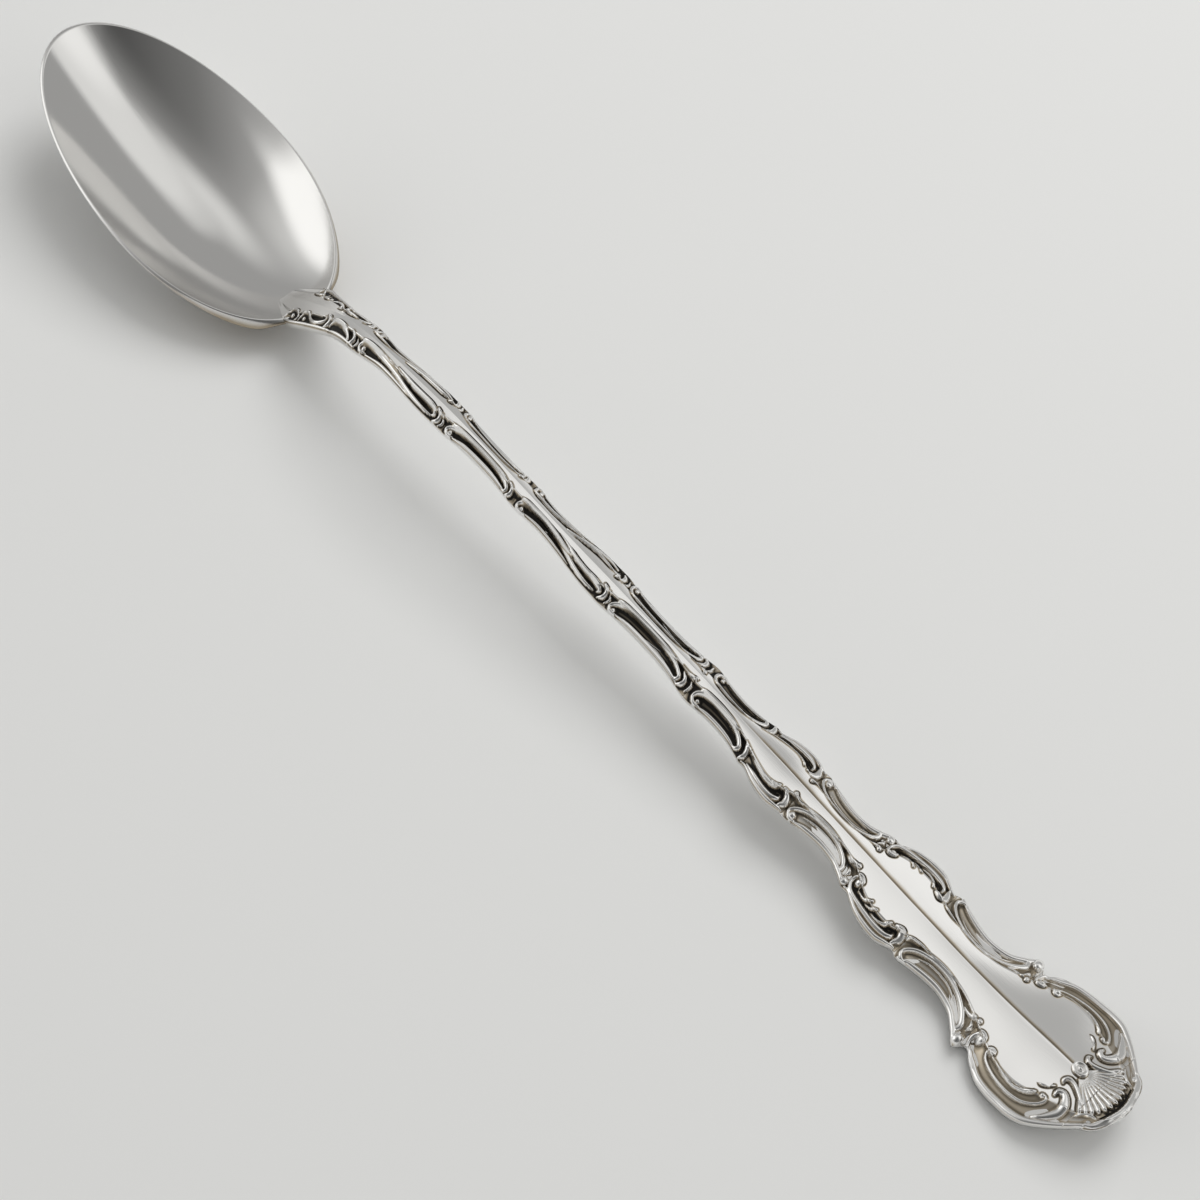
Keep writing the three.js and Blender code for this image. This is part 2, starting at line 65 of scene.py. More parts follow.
# %% Camera
CAMERA_PLACE = Vector((125.05, -99.7, 267.0)) * MM
CAMERA_AZIMUTH = 48.72  # degrees
CAMERA_ELEVATION = 60.14
CAMERA_LENS = 74.5  # millimetres, as the sensor is
SENSOR_WIDTH = 36
NEAREST = 0.01  # metres from the camera to the first thing that it shows


def direction(azimuth, elevation):
    """Unit vector from the table's middle towards a place round it, both angles in degrees."""
    a, e = math.radians(azimuth), math.radians(elevation)
    return Vector((math.sin(a) * math.cos(e), -math.cos(a) * math.cos(e), math.sin(e)))


camera = bpy.data.objects.new("camera", bpy.data.cameras.new("camera"))
camera.data.lens = CAMERA_LENS
camera.data.sensor_width = SENSOR_WIDTH
camera.data.clip_start = NEAREST
camera.location = CAMERA_PLACE
camera.rotation_euler = (-direction(CAMERA_AZIMUTH, CAMERA_ELEVATION)).to_track_quat("-Z", "Y").to_euler()
scene.collection.objects.link(camera)
scene.camera = camera
print("camera at", [round(c, 4) for c in camera.location])

# %% [markdown]
# Reading the handle
#
# Neck, stem and blade are bars with the same twelve corners at every station along them. Reading those
# corners back gives the handle's width, its smooth middle panel, its ridge, its border and its back as plain
# curves, and the fine meshes are drawn on the same curves. Only the panel's slope is set by itself, because
# the photograph shows it flatter than the bars have it.

# %% Stations of the bars
BARS = ("neck", "stem", "handle_blade")
NEARLY = 1e-9  # lengths closer than this count as equal


def bar_stations(node):
    """One row per station of a bar: x, then the values of its curves there, in metres."""
    corners = {}
    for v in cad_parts[node].data.vertices:
        corners.setdefault(round(v.co.x, 6), set()).add((round(v.co.y, 7), round(v.co.z, 7)))
    rows = []
    for x in sorted(corners):
        half = sorted(c for c in corners[x] if c[0] > -NEARLY)
        middle = [z for y, z in half if y < NEARLY]
        outer = half[-1][0]
        edge = [z for y, z in half if y > outer - NEARLY]
        top = sorted((c for c in half if NEARLY < c[0] < outer - NEARLY), key=lambda c: c[1])[1:]
        foot, border = max(top, key=lambda c: c[1]), max(top)
        rows.append((x, outer, foot[0], max(middle), foot[1], border[1], max(edge), min(edge), min(middle)))
    return rows


STATIONS = np.array(sum((bar_stations(node) for node in BARS), []))
print("handle:", len(STATIONS), "stations from", STATIONS[0, 0] / MM, "to", STATIONS[-1, 0] / MM, "mm")

# %% Curves along the handle
WIDTHS = ("outer", "panel")
HEIGHTS = ("ridge", "foot", "border", "border_edge", "edge", "back")
CURVES = WIDTHS + HEIGHTS
FINE = 0.2 * MM  # between the places at which the curves are kept
EVEN_OUT = 3 * MM  # heights are evened out over about this length
BELL_REACH = 3  # lengths after which the evening-out fades away


def cubic(knots, values, x):
    """A smooth cubic through values at knots, with slopes taken from their neighbours."""
    slopes = np.gradient(values, knots)
    i = np.clip(np.searchsorted(knots, x) - 1, 0, len(knots) - 2)
    span = knots[i + 1] - knots[i]
    t = np.clip((x - knots[i]) / span, 0, 1)
    a, b, da, db = values[i], values[i + 1], slopes[i] * span, slopes[i + 1] * span
    return a + t * da + t * t * (3 * (b - a) - 2 * da - db) + t * t * t * (2 * (a - b) + da + db)


def evened(values):
    """Values with short bumps taken out; the two ends stay where they are."""
    reach = round(BELL_REACH * EVEN_OUT / FINE)
    weights = np.exp(-0.5 * (np.arange(-reach, reach + 1) * FINE / EVEN_OUT) ** 2)
    before = 2 * values[0] - values[reach:0:-1]
    after = 2 * values[-1] - values[-2:-reach - 2:-1]
    return np.convolve(np.concatenate((before, values, after)), weights / weights.sum(), mode="valid")


PLACES = np.arange(STATIONS[0, 0], STATIONS[-1, 0] + FINE, FINE)
KEPT = {name: cubic(STATIONS[:, 0], STATIONS[:, 1 + i], PLACES) for i, name in enumerate(CURVES)}
for height_name in HEIGHTS:
    KEPT[height_name] = evened(KEPT[height_name])
print("curves at", len(PLACES), "places:", ", ".join(CURVES))

# %% Slope of the panel
PANEL_DROP = 0.17  # the panel's foot is drawn half-way towards this fall over its half-width
PANEL_SLOPES = ((30, 0.12), (36, 0.19), (44, 0.18), (52, 0.1), (65, 0.09), (76, 0.15), (98, 0.16))  # mm, fall
panel_fall = KEPT["ridge"] - KEPT["foot"]
KEPT["foot"] = KEPT["ridge"] - (panel_fall + PANEL_DROP * KEPT["panel"]) / 2
slope_places, slopes = zip(*PANEL_SLOPES)
KEPT["ridge"] = KEPT["foot"] + np.interp(PLACES / MM, slope_places, slopes) * KEPT["panel"]


def along(name, x):
    """The named curve at x."""
    return np.interp(x, PLACES, KEPT[name])


print("panel: at most", round(KEPT["panel"].max() * 2 / MM, 1), "mm across")

# %% [markdown]
# The upper side of the handle
#
# Across the handle, the smooth panel falls from a soft ridge like a low roof with slightly hollow sides. At
# its edge it steps down to a hollow border, where the scrolls lie. One function gives that height, so the
# bar's mesh and everything that is seated on it agree.

# %% Height of the upper side
RIDGE_SOFTNESS = 0.015  # how round the ridge is, as a share of the panel's half-width
PANEL_HOLLOW = 0.45  # how much steeper the panel falls at the ridge than on the whole
CREASE = 0.05  # depth of the crease along the ridge's left side, as a share of the whole fall
CREASE_WIDTH = 0.14 * MM  # from the ridge to the crease's bottom
CREASE_PAINTED_SHADE = 14.0  # painted shade along the crease, for each share of depth
CREASE_START = 34 * MM  # the crease begins on the blade
CREASE_GROWTH = 10 * MM  # and reaches its whole depth over this length
PANEL_STEP = 0.22 * MM  # width of the step from panel to border
BORDER_HOLLOW = 0.25 * MM  # how far the border sags between its two sides
TINY = 1e-6  # least width to divide by
END_LOBE = 87 * MM


def blend(a, b, t):
    """From a to b as t goes from 0 to 1, with a soft start and end."""
    t = np.clip(t, 0.0, 1.0)
    return a + (b - a) * t * t * (3 - 2 * t)


def crease_depth(x, share, crease):
    """Depth of the crease at a share of the panel's half-width."""
    across = share * along("panel", x) / CREASE_WIDTH
    return blend(0, crease, (x - CREASE_START) / CREASE_GROWTH) * across * np.exp(1 - across)


def panel_height(x, share, crease=0.0):
    """Height of the panel at a share of its half-width."""
    ridge, foot = along("ridge", x), along("foot", x)
    away = np.sqrt(share * share + RIDGE_SOFTNESS ** 2) - RIDGE_SOFTNESS
    fall = away + PANEL_HOLLOW * away * (1 - away)
    return ridge + (foot - ridge) * (fall + crease_depth(x, away, crease))


def border_height(x, share, hollow=BORDER_HOLLOW):
    """Height of the border at a share of the way from panel to outline."""
    inner, edge = along("border", x), along("border_edge", x)
    return inner + (edge - inner) * share - hollow * 4 * share * (1 - share)


def top_height(x, y, hollow=BORDER_HOLLOW):
    """Height of the upper side, y from the middle line."""
    outer, panel, y = along("outer", x), along("panel", x), np.abs(y)
    share = np.clip((y - panel) / np.maximum(outer - panel, TINY), 0.0, 1.0)
    border = blend(along("foot", x), border_height(x, share, hollow), (y - panel) / PANEL_STEP)
    return np.where(y <= panel, panel_height(x, np.minimum(y / np.maximum(panel, TINY), 1)), border)


print("upper side over the table at the end lobe:", round(float(top_height(END_LOBE, 0.0)) / MM, 2), "mm")

# %% [markdown]
# Rolling a grid into a bar
#
# A long shape with a changing section can be lofted ring by ring with the extrude operator. Rolling is
# quicker: a flat grid gets one row per station and one column per point of the section, every vertex is put
# in its place, and the seam is welded. Each vertex also stores how tarnished it is, with painted shade added
# in a few places, for the finish to read.

# %% Helpers for all pieces
# The stored value is tarnish, with painted shade added along the ridge's crease, in the relief's crevices and
# beside the bowl's heel.
TARNISH_AND_SHADE = "tarnish"
WELD = 1e-8  # metres


def rolled(bm, rings, tarnish):
    """A tube through rings of points. tarnish holds tarnish and painted shade for each point of each ring."""
    layer = bm.verts.layers.float.new(TARNISH_AND_SHADE)
    rows, columns = len(rings), len(rings[0])
    made = bmesh.ops.create_grid(bm, x_segments=columns, y_segments=rows - 1, size=1)["verts"]
    for i, v in enumerate(made):
        row, column = divmod(i, columns + 1)
        v.co = rings[row][column % columns]
        v[layer] = tarnish[row][column % columns]
    bmesh.ops.remove_doubles(bm, verts=made, dist=WELD)


def piece(name, bm, nodes, material):
    """Closes and turns out the mesh, and stands it for the named nodes."""
    for face in bm.faces:
        face.smooth = True
    caps = bmesh.ops.holes_fill(bm, edges=[e for e in bm.edges if e.is_boundary], sides=0)["faces"]
    for cap in caps:
        for edge in cap.edges:
            edge.smooth = False
    bmesh.ops.recalc_face_normals(bm, faces=bm.faces)
    mesh = bpy.data.meshes.new(name)
    bm.to_mesh(mesh)
    bm.free()
    mesh.materials.append(material)
    obj = bpy.data.objects.new(name, mesh)
    scene.collection.objects.link(obj)
    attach(obj, "root")
    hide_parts(*nodes)
    print(name, len(mesh.vertices), "vertices")
    return obj


print("every vertex stores its", TARNISH_AND_SHADE, "and is welded to others within", WELD, "m")

# %% [markdown]
# The silver finish
#
# Old polished silver is bright where cloths reach it and dark where they don't. A node group turns the
# stored tarnish, and the painted shade stored with it, into colour and roughness, adds faint clouds and the
# hairline scratches that a table leaves.
# The tarnish could be painted on by hand, but a stored value follows the relief exactly.

# %% Silver node group
SILVER = (0.93, 0.92, 0.905, 1)
TAN = (0.50, 0.43, 0.33, 1)
BLACK = (0.030, 0.028, 0.025, 1)
TARNISH_STOPS = (0.12, 0.48, 0.92)  # up to the first it is silver, at the next tan, at the last black
CLOUD_SCALE = 260  # for each metre
CLOUD_STRENGTH = 0.30  # between the darkest and the lightest cloud
HAIRLINE_TURN = 24  # degrees from the spoon's length
HAIRLINE_SCALE = (500, 9000, 500)  # long one way and fine across it


def silver_wear_and_shade():
    """The group: colour, roughness and scratches of silver with a given tarnish and painted shade."""
    group = bpy.data.node_groups.new("silver wear and shade", "ShaderNodeTree")
    sockets = group.interface
    for name, usual in (("Tarnish", 0.0), ("Polish Roughness", 0.14), ("Tarnish Roughness", 0.42)):
        socket = sockets.new_socket(name, in_out="INPUT", socket_type="NodeSocketFloat")
        socket.default_value = usual
    sockets.new_socket("Color", in_out="OUTPUT", socket_type="NodeSocketColor")
    sockets.new_socket("Roughness", in_out="OUTPUT", socket_type="NodeSocketFloat")
    sockets.new_socket("Height", in_out="OUTPUT", socket_type="NodeSocketFloat")
    nodes, link = group.nodes, group.links.new
    given, out = nodes.new("NodeGroupInput"), nodes.new("NodeGroupOutput")
    place = nodes.new("ShaderNodeTexCoord")

    clouds = nodes.new("ShaderNodeTexNoise")
    clouds.inputs["Scale"].default_value = CLOUD_SCALE
    clouds.inputs["Detail"].default_value = 4
    link(place.outputs["Object"], clouds.inputs["Vector"])
    uneven = nodes.new("ShaderNodeMath")
    uneven.operation = "MULTIPLY_ADD"
    uneven.inputs[1].default_value = CLOUD_STRENGTH
    uneven.inputs[2].default_value = -CLOUD_STRENGTH / 2
    link(clouds.outputs["Fac"], uneven.inputs[0])
    amount = nodes.new("ShaderNodeMath")
    amount.operation = "ADD"
    amount.use_clamp = True
    link(given.outputs["Tarnish"], amount.inputs[0])
    link(uneven.outputs[0], amount.inputs[1])

    ramp = nodes.new("ShaderNodeValToRGB")
    ramp.color_ramp.elements[0].color = SILVER
    ramp.color_ramp.elements[0].position = TARNISH_STOPS[0]
    ramp.color_ramp.elements[1].color = BLACK
    ramp.color_ramp.elements[1].position = TARNISH_STOPS[2]
    ramp.color_ramp.elements.new(TARNISH_STOPS[1]).color = TAN
    link(amount.outputs[0], ramp.inputs["Fac"])
    link(ramp.outputs["Color"], out.inputs["Color"])

    rough = nodes.new("ShaderNodeMix")
    link(amount.outputs[0], rough.inputs["Factor"])
    link(given.outputs["Polish Roughness"], rough.inputs["A"])
    link(given.outputs["Tarnish Roughness"], rough.inputs["B"])
    link(rough.outputs["Result"], out.inputs["Roughness"])

    stretch = nodes.new("ShaderNodeMapping")
    stretch.inputs["Rotation"].default_value = (0, 0, math.radians(HAIRLINE_TURN))
    stretch.inputs["Scale"].default_value = HAIRLINE_SCALE
    link(place.outputs["Object"], stretch.inputs["Vector"])
    hairlines = nodes.new("ShaderNodeTexNoise")
    hairlines.inputs["Scale"].default_value = 1
    hairlines.inputs["Detail"].default_value = 2
    link(stretch.outputs["Vector"], hairlines.inputs["Vector"])
    link(hairlines.outputs["Fac"], out.inputs["Height"])
    return group


WEAR_AND_SHADE = silver_wear_and_shade()
print("silver wear and shade:", len(WEAR_AND_SHADE.nodes), "nodes")

# %% Silver materials
HAIRLINE_DEPTH = 0.01 * MM


def silver(name, polish, scratch, shade):
    """A silver material: roughness of the clean metal, strength of its hairlines, and its colour's shade.

    shade is painted light or painted shade: it multiplies the colour of the whole part.
    """
    material = bpy.data.materials.new(name)
    material.use_nodes = True
    nodes, link = material.node_tree.nodes, material.node_tree.links.new
    shader = nodes["Principled BSDF"]
    shader.inputs["Metallic"].default_value = 1
    wear = nodes.new("ShaderNodeGroup")
    wear.node_tree = WEAR_AND_SHADE
    wear.inputs["Polish Roughness"].default_value = polish
    stored = nodes.new("ShaderNodeAttribute")
    stored.attribute_name = TARNISH_AND_SHADE
    link(stored.outputs["Fac"], wear.inputs["Tarnish"])
    bump = nodes.new("ShaderNodeBump")
    bump.inputs["Strength"].default_value = scratch
    bump.inputs["Distance"].default_value = HAIRLINE_DEPTH
    link(wear.outputs["Height"], bump.inputs["Height"])
    # Painted light and shade: the whole colour is multiplied by one brightness for the part.
    painted_light_mix = nodes.new("ShaderNodeMix")
    painted_light_mix.data_type = "RGBA"
    painted_light_mix.blend_type = "MULTIPLY"
    painted_light_mix.inputs["Factor"].default_value = 1
    painted_light_mix.inputs["B"].default_value = (shade, shade, shade, 1)
    link(wear.outputs["Color"], painted_light_mix.inputs["A"])
    link(painted_light_mix.outputs["Result"], shader.inputs["Base Color"])
    link(wear.outputs["Roughness"], shader.inputs["Roughness"])
    link(bump.outputs["Normal"], shader.inputs["Normal"])
    return material


# Painted shade darkens the bowl's silver and painted light brightens the handle's; the relief keeps its own
# colour.
BOWL_SILVER_PAINTED_DARKER = silver("bowl silver painted darker", polish=0.10, scratch=0.35, shade=0.84)
HANDLE_SILVER_PAINTED_LIGHTER = silver("handle silver painted lighter", polish=0.14, scratch=0.35, shade=1.07)
RELIEF_SILVER = silver("relief silver", polish=0.18, scratch=0.2, shade=1.0)
print("finishes:", [m.name for m in (BOWL_SILVER_PAINTED_DARKER, HANDLE_SILVER_PAINTED_LIGHTER, RELIEF_SILVER)])

# %% [markdown]
# The bowl
#
# A spoon's bowl is a dish drawn out to a pointed oval. Spinning a profile of the wall gives a round dish with
# an even rim. Its two halves are then stretched by different lengths, and the whole is tipped so that the
# tip stands higher than the heel. Where it would reach under the table it is worn flat.

# %% Profile of the bowl
BOWL_DEPTH = 7.4 * MM
BOWL_FULLNESS = 2.3  # power of the inside's curve
BOWL_WALL = 1.2 * MM
LIP_THINNING = 0.6  # share of the wall that is gone at the lip
LIP_POWER = 4
LIP_WIDTH = 0.38 * MM
LIP_ROUND = 5  # steps that round the lip
LIP_BULGE = 0.004  # past the wall, as a share of the half-width
LIP_RAISE = 0.1 * MM
PROFILE_STEPS = 40

bowl_low, bowl_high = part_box("bowl")
BOWL_HALF = bowl_high.y
LIP_SHARE = 1 - LIP_WIDTH / BOWL_HALF


def dish(share):
    """Depth of the bowl's inside under the rim, at a share of the way out to the lip."""
    return BOWL_DEPTH * (1 - share ** BOWL_FULLNESS)


def bowl_profile():
    """Wall of the dish from its underside's middle, over the lip, to its inside's middle."""
    shares = [math.sin(math.pi / 2 * i / PROFILE_STEPS) for i in range(PROFILE_STEPS + 1)]
    walls = [BOWL_WALL * (1 - LIP_THINNING * share ** LIP_POWER) for share in shares]
    outside = [(share, -dish(share) - wall) for share, wall in zip(shares, walls)]
    inside = [(share * LIP_SHARE, -dish(share)) for share in shares]
    low, high = outside[-1], inside[-1]
    middle = ((low[0] + high[0]) / 2, (low[1] + high[1]) / 2)
    half = ((low[0] - high[0]) / 2, (high[1] - low[1]) / 2)
    lip = []
    for i in range(1, LIP_ROUND):
        turn = math.pi * i / LIP_ROUND
        share = middle[0] + half[0] * math.cos(turn) + LIP_BULGE * math.sin(turn)
        lip.append((share, middle[1] - half[1] * math.cos(turn) + LIP_RAISE))
    return outside + lip + inside[::-1]


print("bowl profile:", len(bowl_profile()), "points")

# %% Bowl
BOWL_LENGTHS = (29.7 * MM, 23.1 * MM)  # from the widest line to the tip, and to the heel
BOWL_RISE = 10.2 * MM  # rim at the tip over the rim at the heel
BOWL_STEPS = 160
BOWL_WELD = 1e-6  # while the half-width is still 1
BOWL_TARNISH = 0.02
BOWL_MIDDLE = bowl_low.x + BOWL_LENGTHS[0]
OUTSIDE = 0.1 * MM  # what lies further than this under the inside is the outside
HEEL_THICKENING = 1.3 * MM  # beside the neck, the wall's outside hangs lower
HEEL_FROM = 0.3  # where that starts: 0 is the widest line, 1 the heel
# Painted shade on the bowl's outside beside the heel, where it mirrors the shadowed table.
HEEL_PAINTED_SHADE = 0.5
HEEL_SHADE_FROM = -0.3  # where the painted shade on its outside starts
NECK_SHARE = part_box("neck")[1].y / BOWL_HALF


def turned(bm, profile, steps, weld):
    """A profile of radius and height, spun round the upright axis."""
    line = [bm.verts.new((radius, 0, height)) for radius, height in profile]
    edges = [bm.edges.new(pair) for pair in zip(line, line[1:])]
    bmesh.ops.spin(bm, geom=line + edges, cent=(0, 0, 0), axis=(0, 0, 1), angle=2 * math.pi, steps=steps,
                   use_merge=True)
    bmesh.ops.remove_doubles(bm, verts=bm.verts, dist=weld)


def rim_height(x):
    """The rim climbs evenly towards the tip; its highest point is the bowl's."""
    inner_tip = BOWL_MIDDLE - BOWL_LENGTHS[0] * LIP_SHARE
    return bowl_high.z - BOWL_RISE * (x - inner_tip) / sum(BOWL_LENGTHS)


def towards_heel(a, start):
    """0 up to the start, then softly up to 1 at the heel."""
    return blend(0, 1, (a - start) / (1 - start))


def bowl():
    """The dish, stretched to the spoon's oval, tipped and worn flat."""
    bm = bmesh.new()
    layer = bm.verts.layers.float.new(TARNISH_AND_SHADE)
    turned(bm, bowl_profile(), BOWL_STEPS, BOWL_WELD)
    for v in bm.verts:
        a, b, height = v.co
        x = BOWL_MIDDLE + a * BOWL_LENGTHS[a > 0]
        radius = math.hypot(a, b)
        outside = height < -dish(min(radius / LIP_SHARE, 1)) - OUTSIDE
        beside = blend(0, 1, abs(b) / NECK_SHARE - 1)
        hang = HEEL_THICKENING * towards_heel(a, HEEL_FROM) * radius ** 2 * beside
        v.co = (x, b * BOWL_HALF, max(rim_height(x) + height - hang * outside, 0))
        # The outside near the heel is darkened with painted shade.
        v[layer] = BOWL_TARNISH + HEEL_PAINTED_SHADE * outside * towards_heel(a, HEEL_SHADE_FROM)
    return piece("spoon_bowl", bm, ["bowl"], BOWL_SILVER_PAINTED_DARKER)


bowl()

# %% [markdown]
# Neck, stem and blade
#
# The three bars share one section: ridge, panel, step, hollow border, upright edge and a back that is half an
# ellipse. The border's hollow is where tarnish stays. It is nearly black on the stem, and a warm tan on the
# broad end, where a cloth reaches further in.

# %% Tarnish along the handle
BORDER_TARNISH = ((-47.6, 0.04), (-46.8, 0.74), (10, 0.76), (24, 0.69), (42, 0.65), (50, 0.22), (56, 0.3),
                  (62, 0.55), (67, 0.4), (73, 0.26), (80, 0.42), (93, 0.42), (96, 0.2))  # mm along, amount
PANEL_TARNISH = 0.03
CHANNEL = 4.9 * MM  # from the button's middle to the sunk channel before the end
CHANNEL_EDGE = 0.4 * MM
CHANNEL_TARNISH = 0.75
channel_start = (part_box("shell_button")[0].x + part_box("shell_button")[1].x) / 2 + CHANNEL


def from_list(pairs, x):
    """The amount at x, from pairs of a place in mm and an amount."""
    places, amounts = zip(*pairs)
    return np.interp(x, [p * MM for p in places], amounts)


def border_tarnish(x):
    """Tarnish in the hollow of the border."""
    return from_list(BORDER_TARNISH, x)


def panel_tarnish(x):
    """Tarnish on the panel: hardly any, but for the channel before the end."""
    return blend(PANEL_TARNISH, CHANNEL_TARNISH, (x - channel_start) / CHANNEL_EDGE)


print("tarnish of the border at the end lobe:", round(float(border_tarnish(END_LOBE)), 2))

# %% Section of a bar
PANEL_SHARES = (0, 0.01, 0.025, 0.05, 0.08, 0.12, 0.18, 0.27, 0.4, 0.55, 0.7, 0.85, 0.95, 1)
STEP_SHARES = (0.25, 0.5, 0.75, 1)
BORDER_SHARES = (0.25, 0.42, 0.58, 0.75, 0.9)
BACK_POINTS = 12
BACK_TARNISH = 0.05
EDGE_TARNISH = (0.1, 0.06, 0.04)  # from the border's lip down the edge
LIP_DROP = 0.12 * MM
GROUND = BORDER_HOLLOW + 0.12 * MM  # the bar's own border lies under the relief's
SEAT = 0.6 * MM  # fillet between the neck and the bowl's inside
SEAT_DEPTH = 0.02 * MM


def rounding(gap, reach):
    """Height that rounds the join of two surfaces which are a gap apart."""
    return np.maximum(reach - np.abs(gap), 0) ** 2 / (4 * reach)


def seated(x, y, z):
    """The height z, rounded into the bowl's inside where the neck runs out in it."""
    a = (x - BOWL_MIDDLE) / BOWL_LENGTHS[1]
    share = np.hypot(a, y / BOWL_HALF) / LIP_SHARE
    inside = rim_height(x) - dish(np.minimum(share, 1))
    over = z - inside
    hidden = SEAT_DEPTH * np.clip(-over / SEAT, 0, 1)
    return np.where(share < 1, np.maximum(z, inside) + rounding(over, SEAT) - hidden, z)


def half_section(x, crease):
    """(y, z, tarnish and painted shade) of half a bar's section, from the ridge round to the back."""
    outer, panel = along("outer", x), along("panel", x)
    points = []
    for s in PANEL_SHARES:
        # Painted shade: a dark line is painted along the ridge's crease.
        dark = panel_tarnish(x) + CREASE_PAINTED_SHADE * crease_depth(x, s, crease)
        points.append((panel * s, seated(x, panel * s, panel_height(x, s, crease)), dark))
    step = min(PANEL_STEP, (outer - panel) / 3)  # at most a third of the border
    start = panel + step
    border = [(panel + step * s, border_tarnish(x) * s) for s in STEP_SHARES]
    border += [(start + (outer - start) * s, border_tarnish(x)) for s in BORDER_SHARES]
    points += [(y, seated(x, y, top_height(x, y, GROUND)), dark) for y, dark in border]
    edge_top, edge, back = along("border_edge", x), along("edge", x), along("back", x)
    side = ((outer - LIP_DROP / 4, edge_top - LIP_DROP / 4), (outer, edge_top - LIP_DROP),
            (outer, (edge_top + edge) / 2))
    points += [(y, z, dark) for (y, z), dark in zip(side, EDGE_TARNISH)]
    for i in range(BACK_POINTS):
        turn = math.pi / 2 * i / (BACK_POINTS - 1)
        points.append((outer * math.cos(turn), edge - (edge - back) * math.sin(turn), BACK_TARNISH))
    return points


print("half a section:", len(half_section(END_LOBE, CREASE)), "points")

# %% Bars
BAR_STEP = 0.35 * MM


def bar(name, node, low, high):
    """A bar from low to high along x, rolled from its sections."""
    count = max(2, round((high - low) / BAR_STEP))
    rings, tarnish = [], []
    for x in np.linspace(low, high, count + 1):
        ring = half_section(x, CREASE) + [(-y, z, t) for y, z, t in half_section(x, 0)[-2:0:-1]]
        rings.append([Vector((x, y, z)) for y, z, t in ring])
        tarnish.append([t for y, z, t in ring])
    bm = bmesh.new()
    rolled(bm, rings, tarnish)
    return piece(name, bm, [node], HANDLE_SILVER_PAINTED_LIGHTER)


bar_ends = [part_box("neck")[0].x]
for before, after in zip(BARS, BARS[1:]):
    bar_ends.append((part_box(before)[1].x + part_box(after)[0].x) / 2)
bar_ends.append(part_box("handle_blade")[1].x)
bar("spoon_neck", "neck", *bar_ends[:2])
bar("spoon_stem", "stem", *bar_ends[1:3])
bar("spoon_blade", "handle_blade", *bar_ends[2:])

# %% [markdown]
# Strokes of relief
#
# The border is drawn with strokes, as a chaser's tools would: each follows a smooth line through a few
# points and swells and thins along it. A stroke could be a tube laid on the handle, but struck metal has no
# seams, so strokes are only noted down here, and one surface is raised over all of them later.

# %% Strokes and beads
STROKE_STEP = 0.06 * MM
RIM_INSET = 0.75  # from the outline to a rim's middle line, as a share of its half-width
STROKES = []  # (kind, points along the stroke, with the half-width as their third number)


def smooth_line(points, step):
    """Points of a smooth curve through the given ones, about a step apart."""
    given = [Vector(p) for p in points]
    given = [2 * given[0] - given[1]] + given + [2 * given[-1] - given[-2]]
    line = []
    for a, b, c, d in zip(given, given[1:], given[2:], given[3:]):
        count = max(2, math.ceil((c - b).length / step))
        for i in range(count):
            t = i / count
            line.append(0.5 * (2 * b + t * (c - a) + t * t * (2 * a - 5 * b + 4 * c - d)
                               + t * t * t * (3 * b - a - 3 * c + d)))
    return np.array(line + [given[-2]])


def draw(strokes=(), rims=(), twins=(), beads=(), start=0.0):
    """Notes strokes down. Points are (along from start, from the middle, half-width or radius), in mm.

    Points of rims and twins are (along from start, half-width): those strokes lie on the outline.
    """
    for kind, lines in (("rim", rims), ("twin", twins)):
        for points in lines:
            line = smooth_line([(start + u * MM, 0, w * MM) for u, w in points], STROKE_STEP)
            line[:, 1] = along("outer", line[:, 0]) - RIM_INSET * line[:, 2]
            STROKES.append((kind, line))
    for points in strokes:
        line = smooth_line([(start + u * MM, y * MM, w * MM) for u, y, w in points], STROKE_STEP)
        STROKES.append(("round", line))
    for u, y, radius in beads:
        STROKES.append(("bead", np.array([(start + u * MM, y * MM, radius * MM)])))
    print("noted", len(strokes), "strokes,", len(rims) + len(twins), "rims and", len(beads), "beads")


def start_of(name):
    """The lowest x of a feature of the border."""
    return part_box(f"{name}_left")[0].x


print("the border begins at", round(start_of("neck_leaf") / MM, 1), "mm")

# %% [markdown]
# The neck's volutes
#
# Where the neck leaves the bowl, two small volutes roll towards it and a leaf runs from them up the neck.
# Every stroke is a row of places along it: the curve passes through them all, so a few are enough.

# %% Neck leaf
draw(
    start=start_of("neck_leaf"),
    strokes=[
        # volute
        [(-0.6, 3.2, 0.1), (-0.65, 2.5, 0.16), (-0.2, 1.95, 0.18), (0.5, 1.8, 0.19), (1.15, 2, 0.18),
         (1.5, 2.5, 0.14), (1.35, 3, 0.1)],
        # leaf
        [(2, 2.9, 0.08), (1.95, 2.3, 0.14), (2.3, 1.75, 0.18), (3, 1.6, 0.19), (3.7, 1.9, 0.23),
         (4.5, 2.2, 0.3), (5.4, 2.1, 0.32), (6.1, 1.7, 0.26), (6.6, 1.2, 0.12)],
        # crescent
        [(6.7, 0.75, 0.14), (7.2, 1.1, 0.35), (7.2, 1.7, 0.35), (6.8, 2.3, 0.14)],
    ],
    rims=[[(-0.4, 0.16), (0.8, 0.26), (2.5, 0.27), (4.5, 0.27), (6.5, 0.26), (8, 0.2)]],
    beads=[(0.45, 2.5, 0.32), (2.75, 2.3, 0.28)],
)

# %% [markdown]
# The stem's scrolls
#
# Five scrolls follow up the stem. The short ones are C-scrolls: a bead, a rail along the panel that hooks
# outwards at its far end, and a rim on the outline. The long ones sway like an S, and a second rail takes
# over from the first.

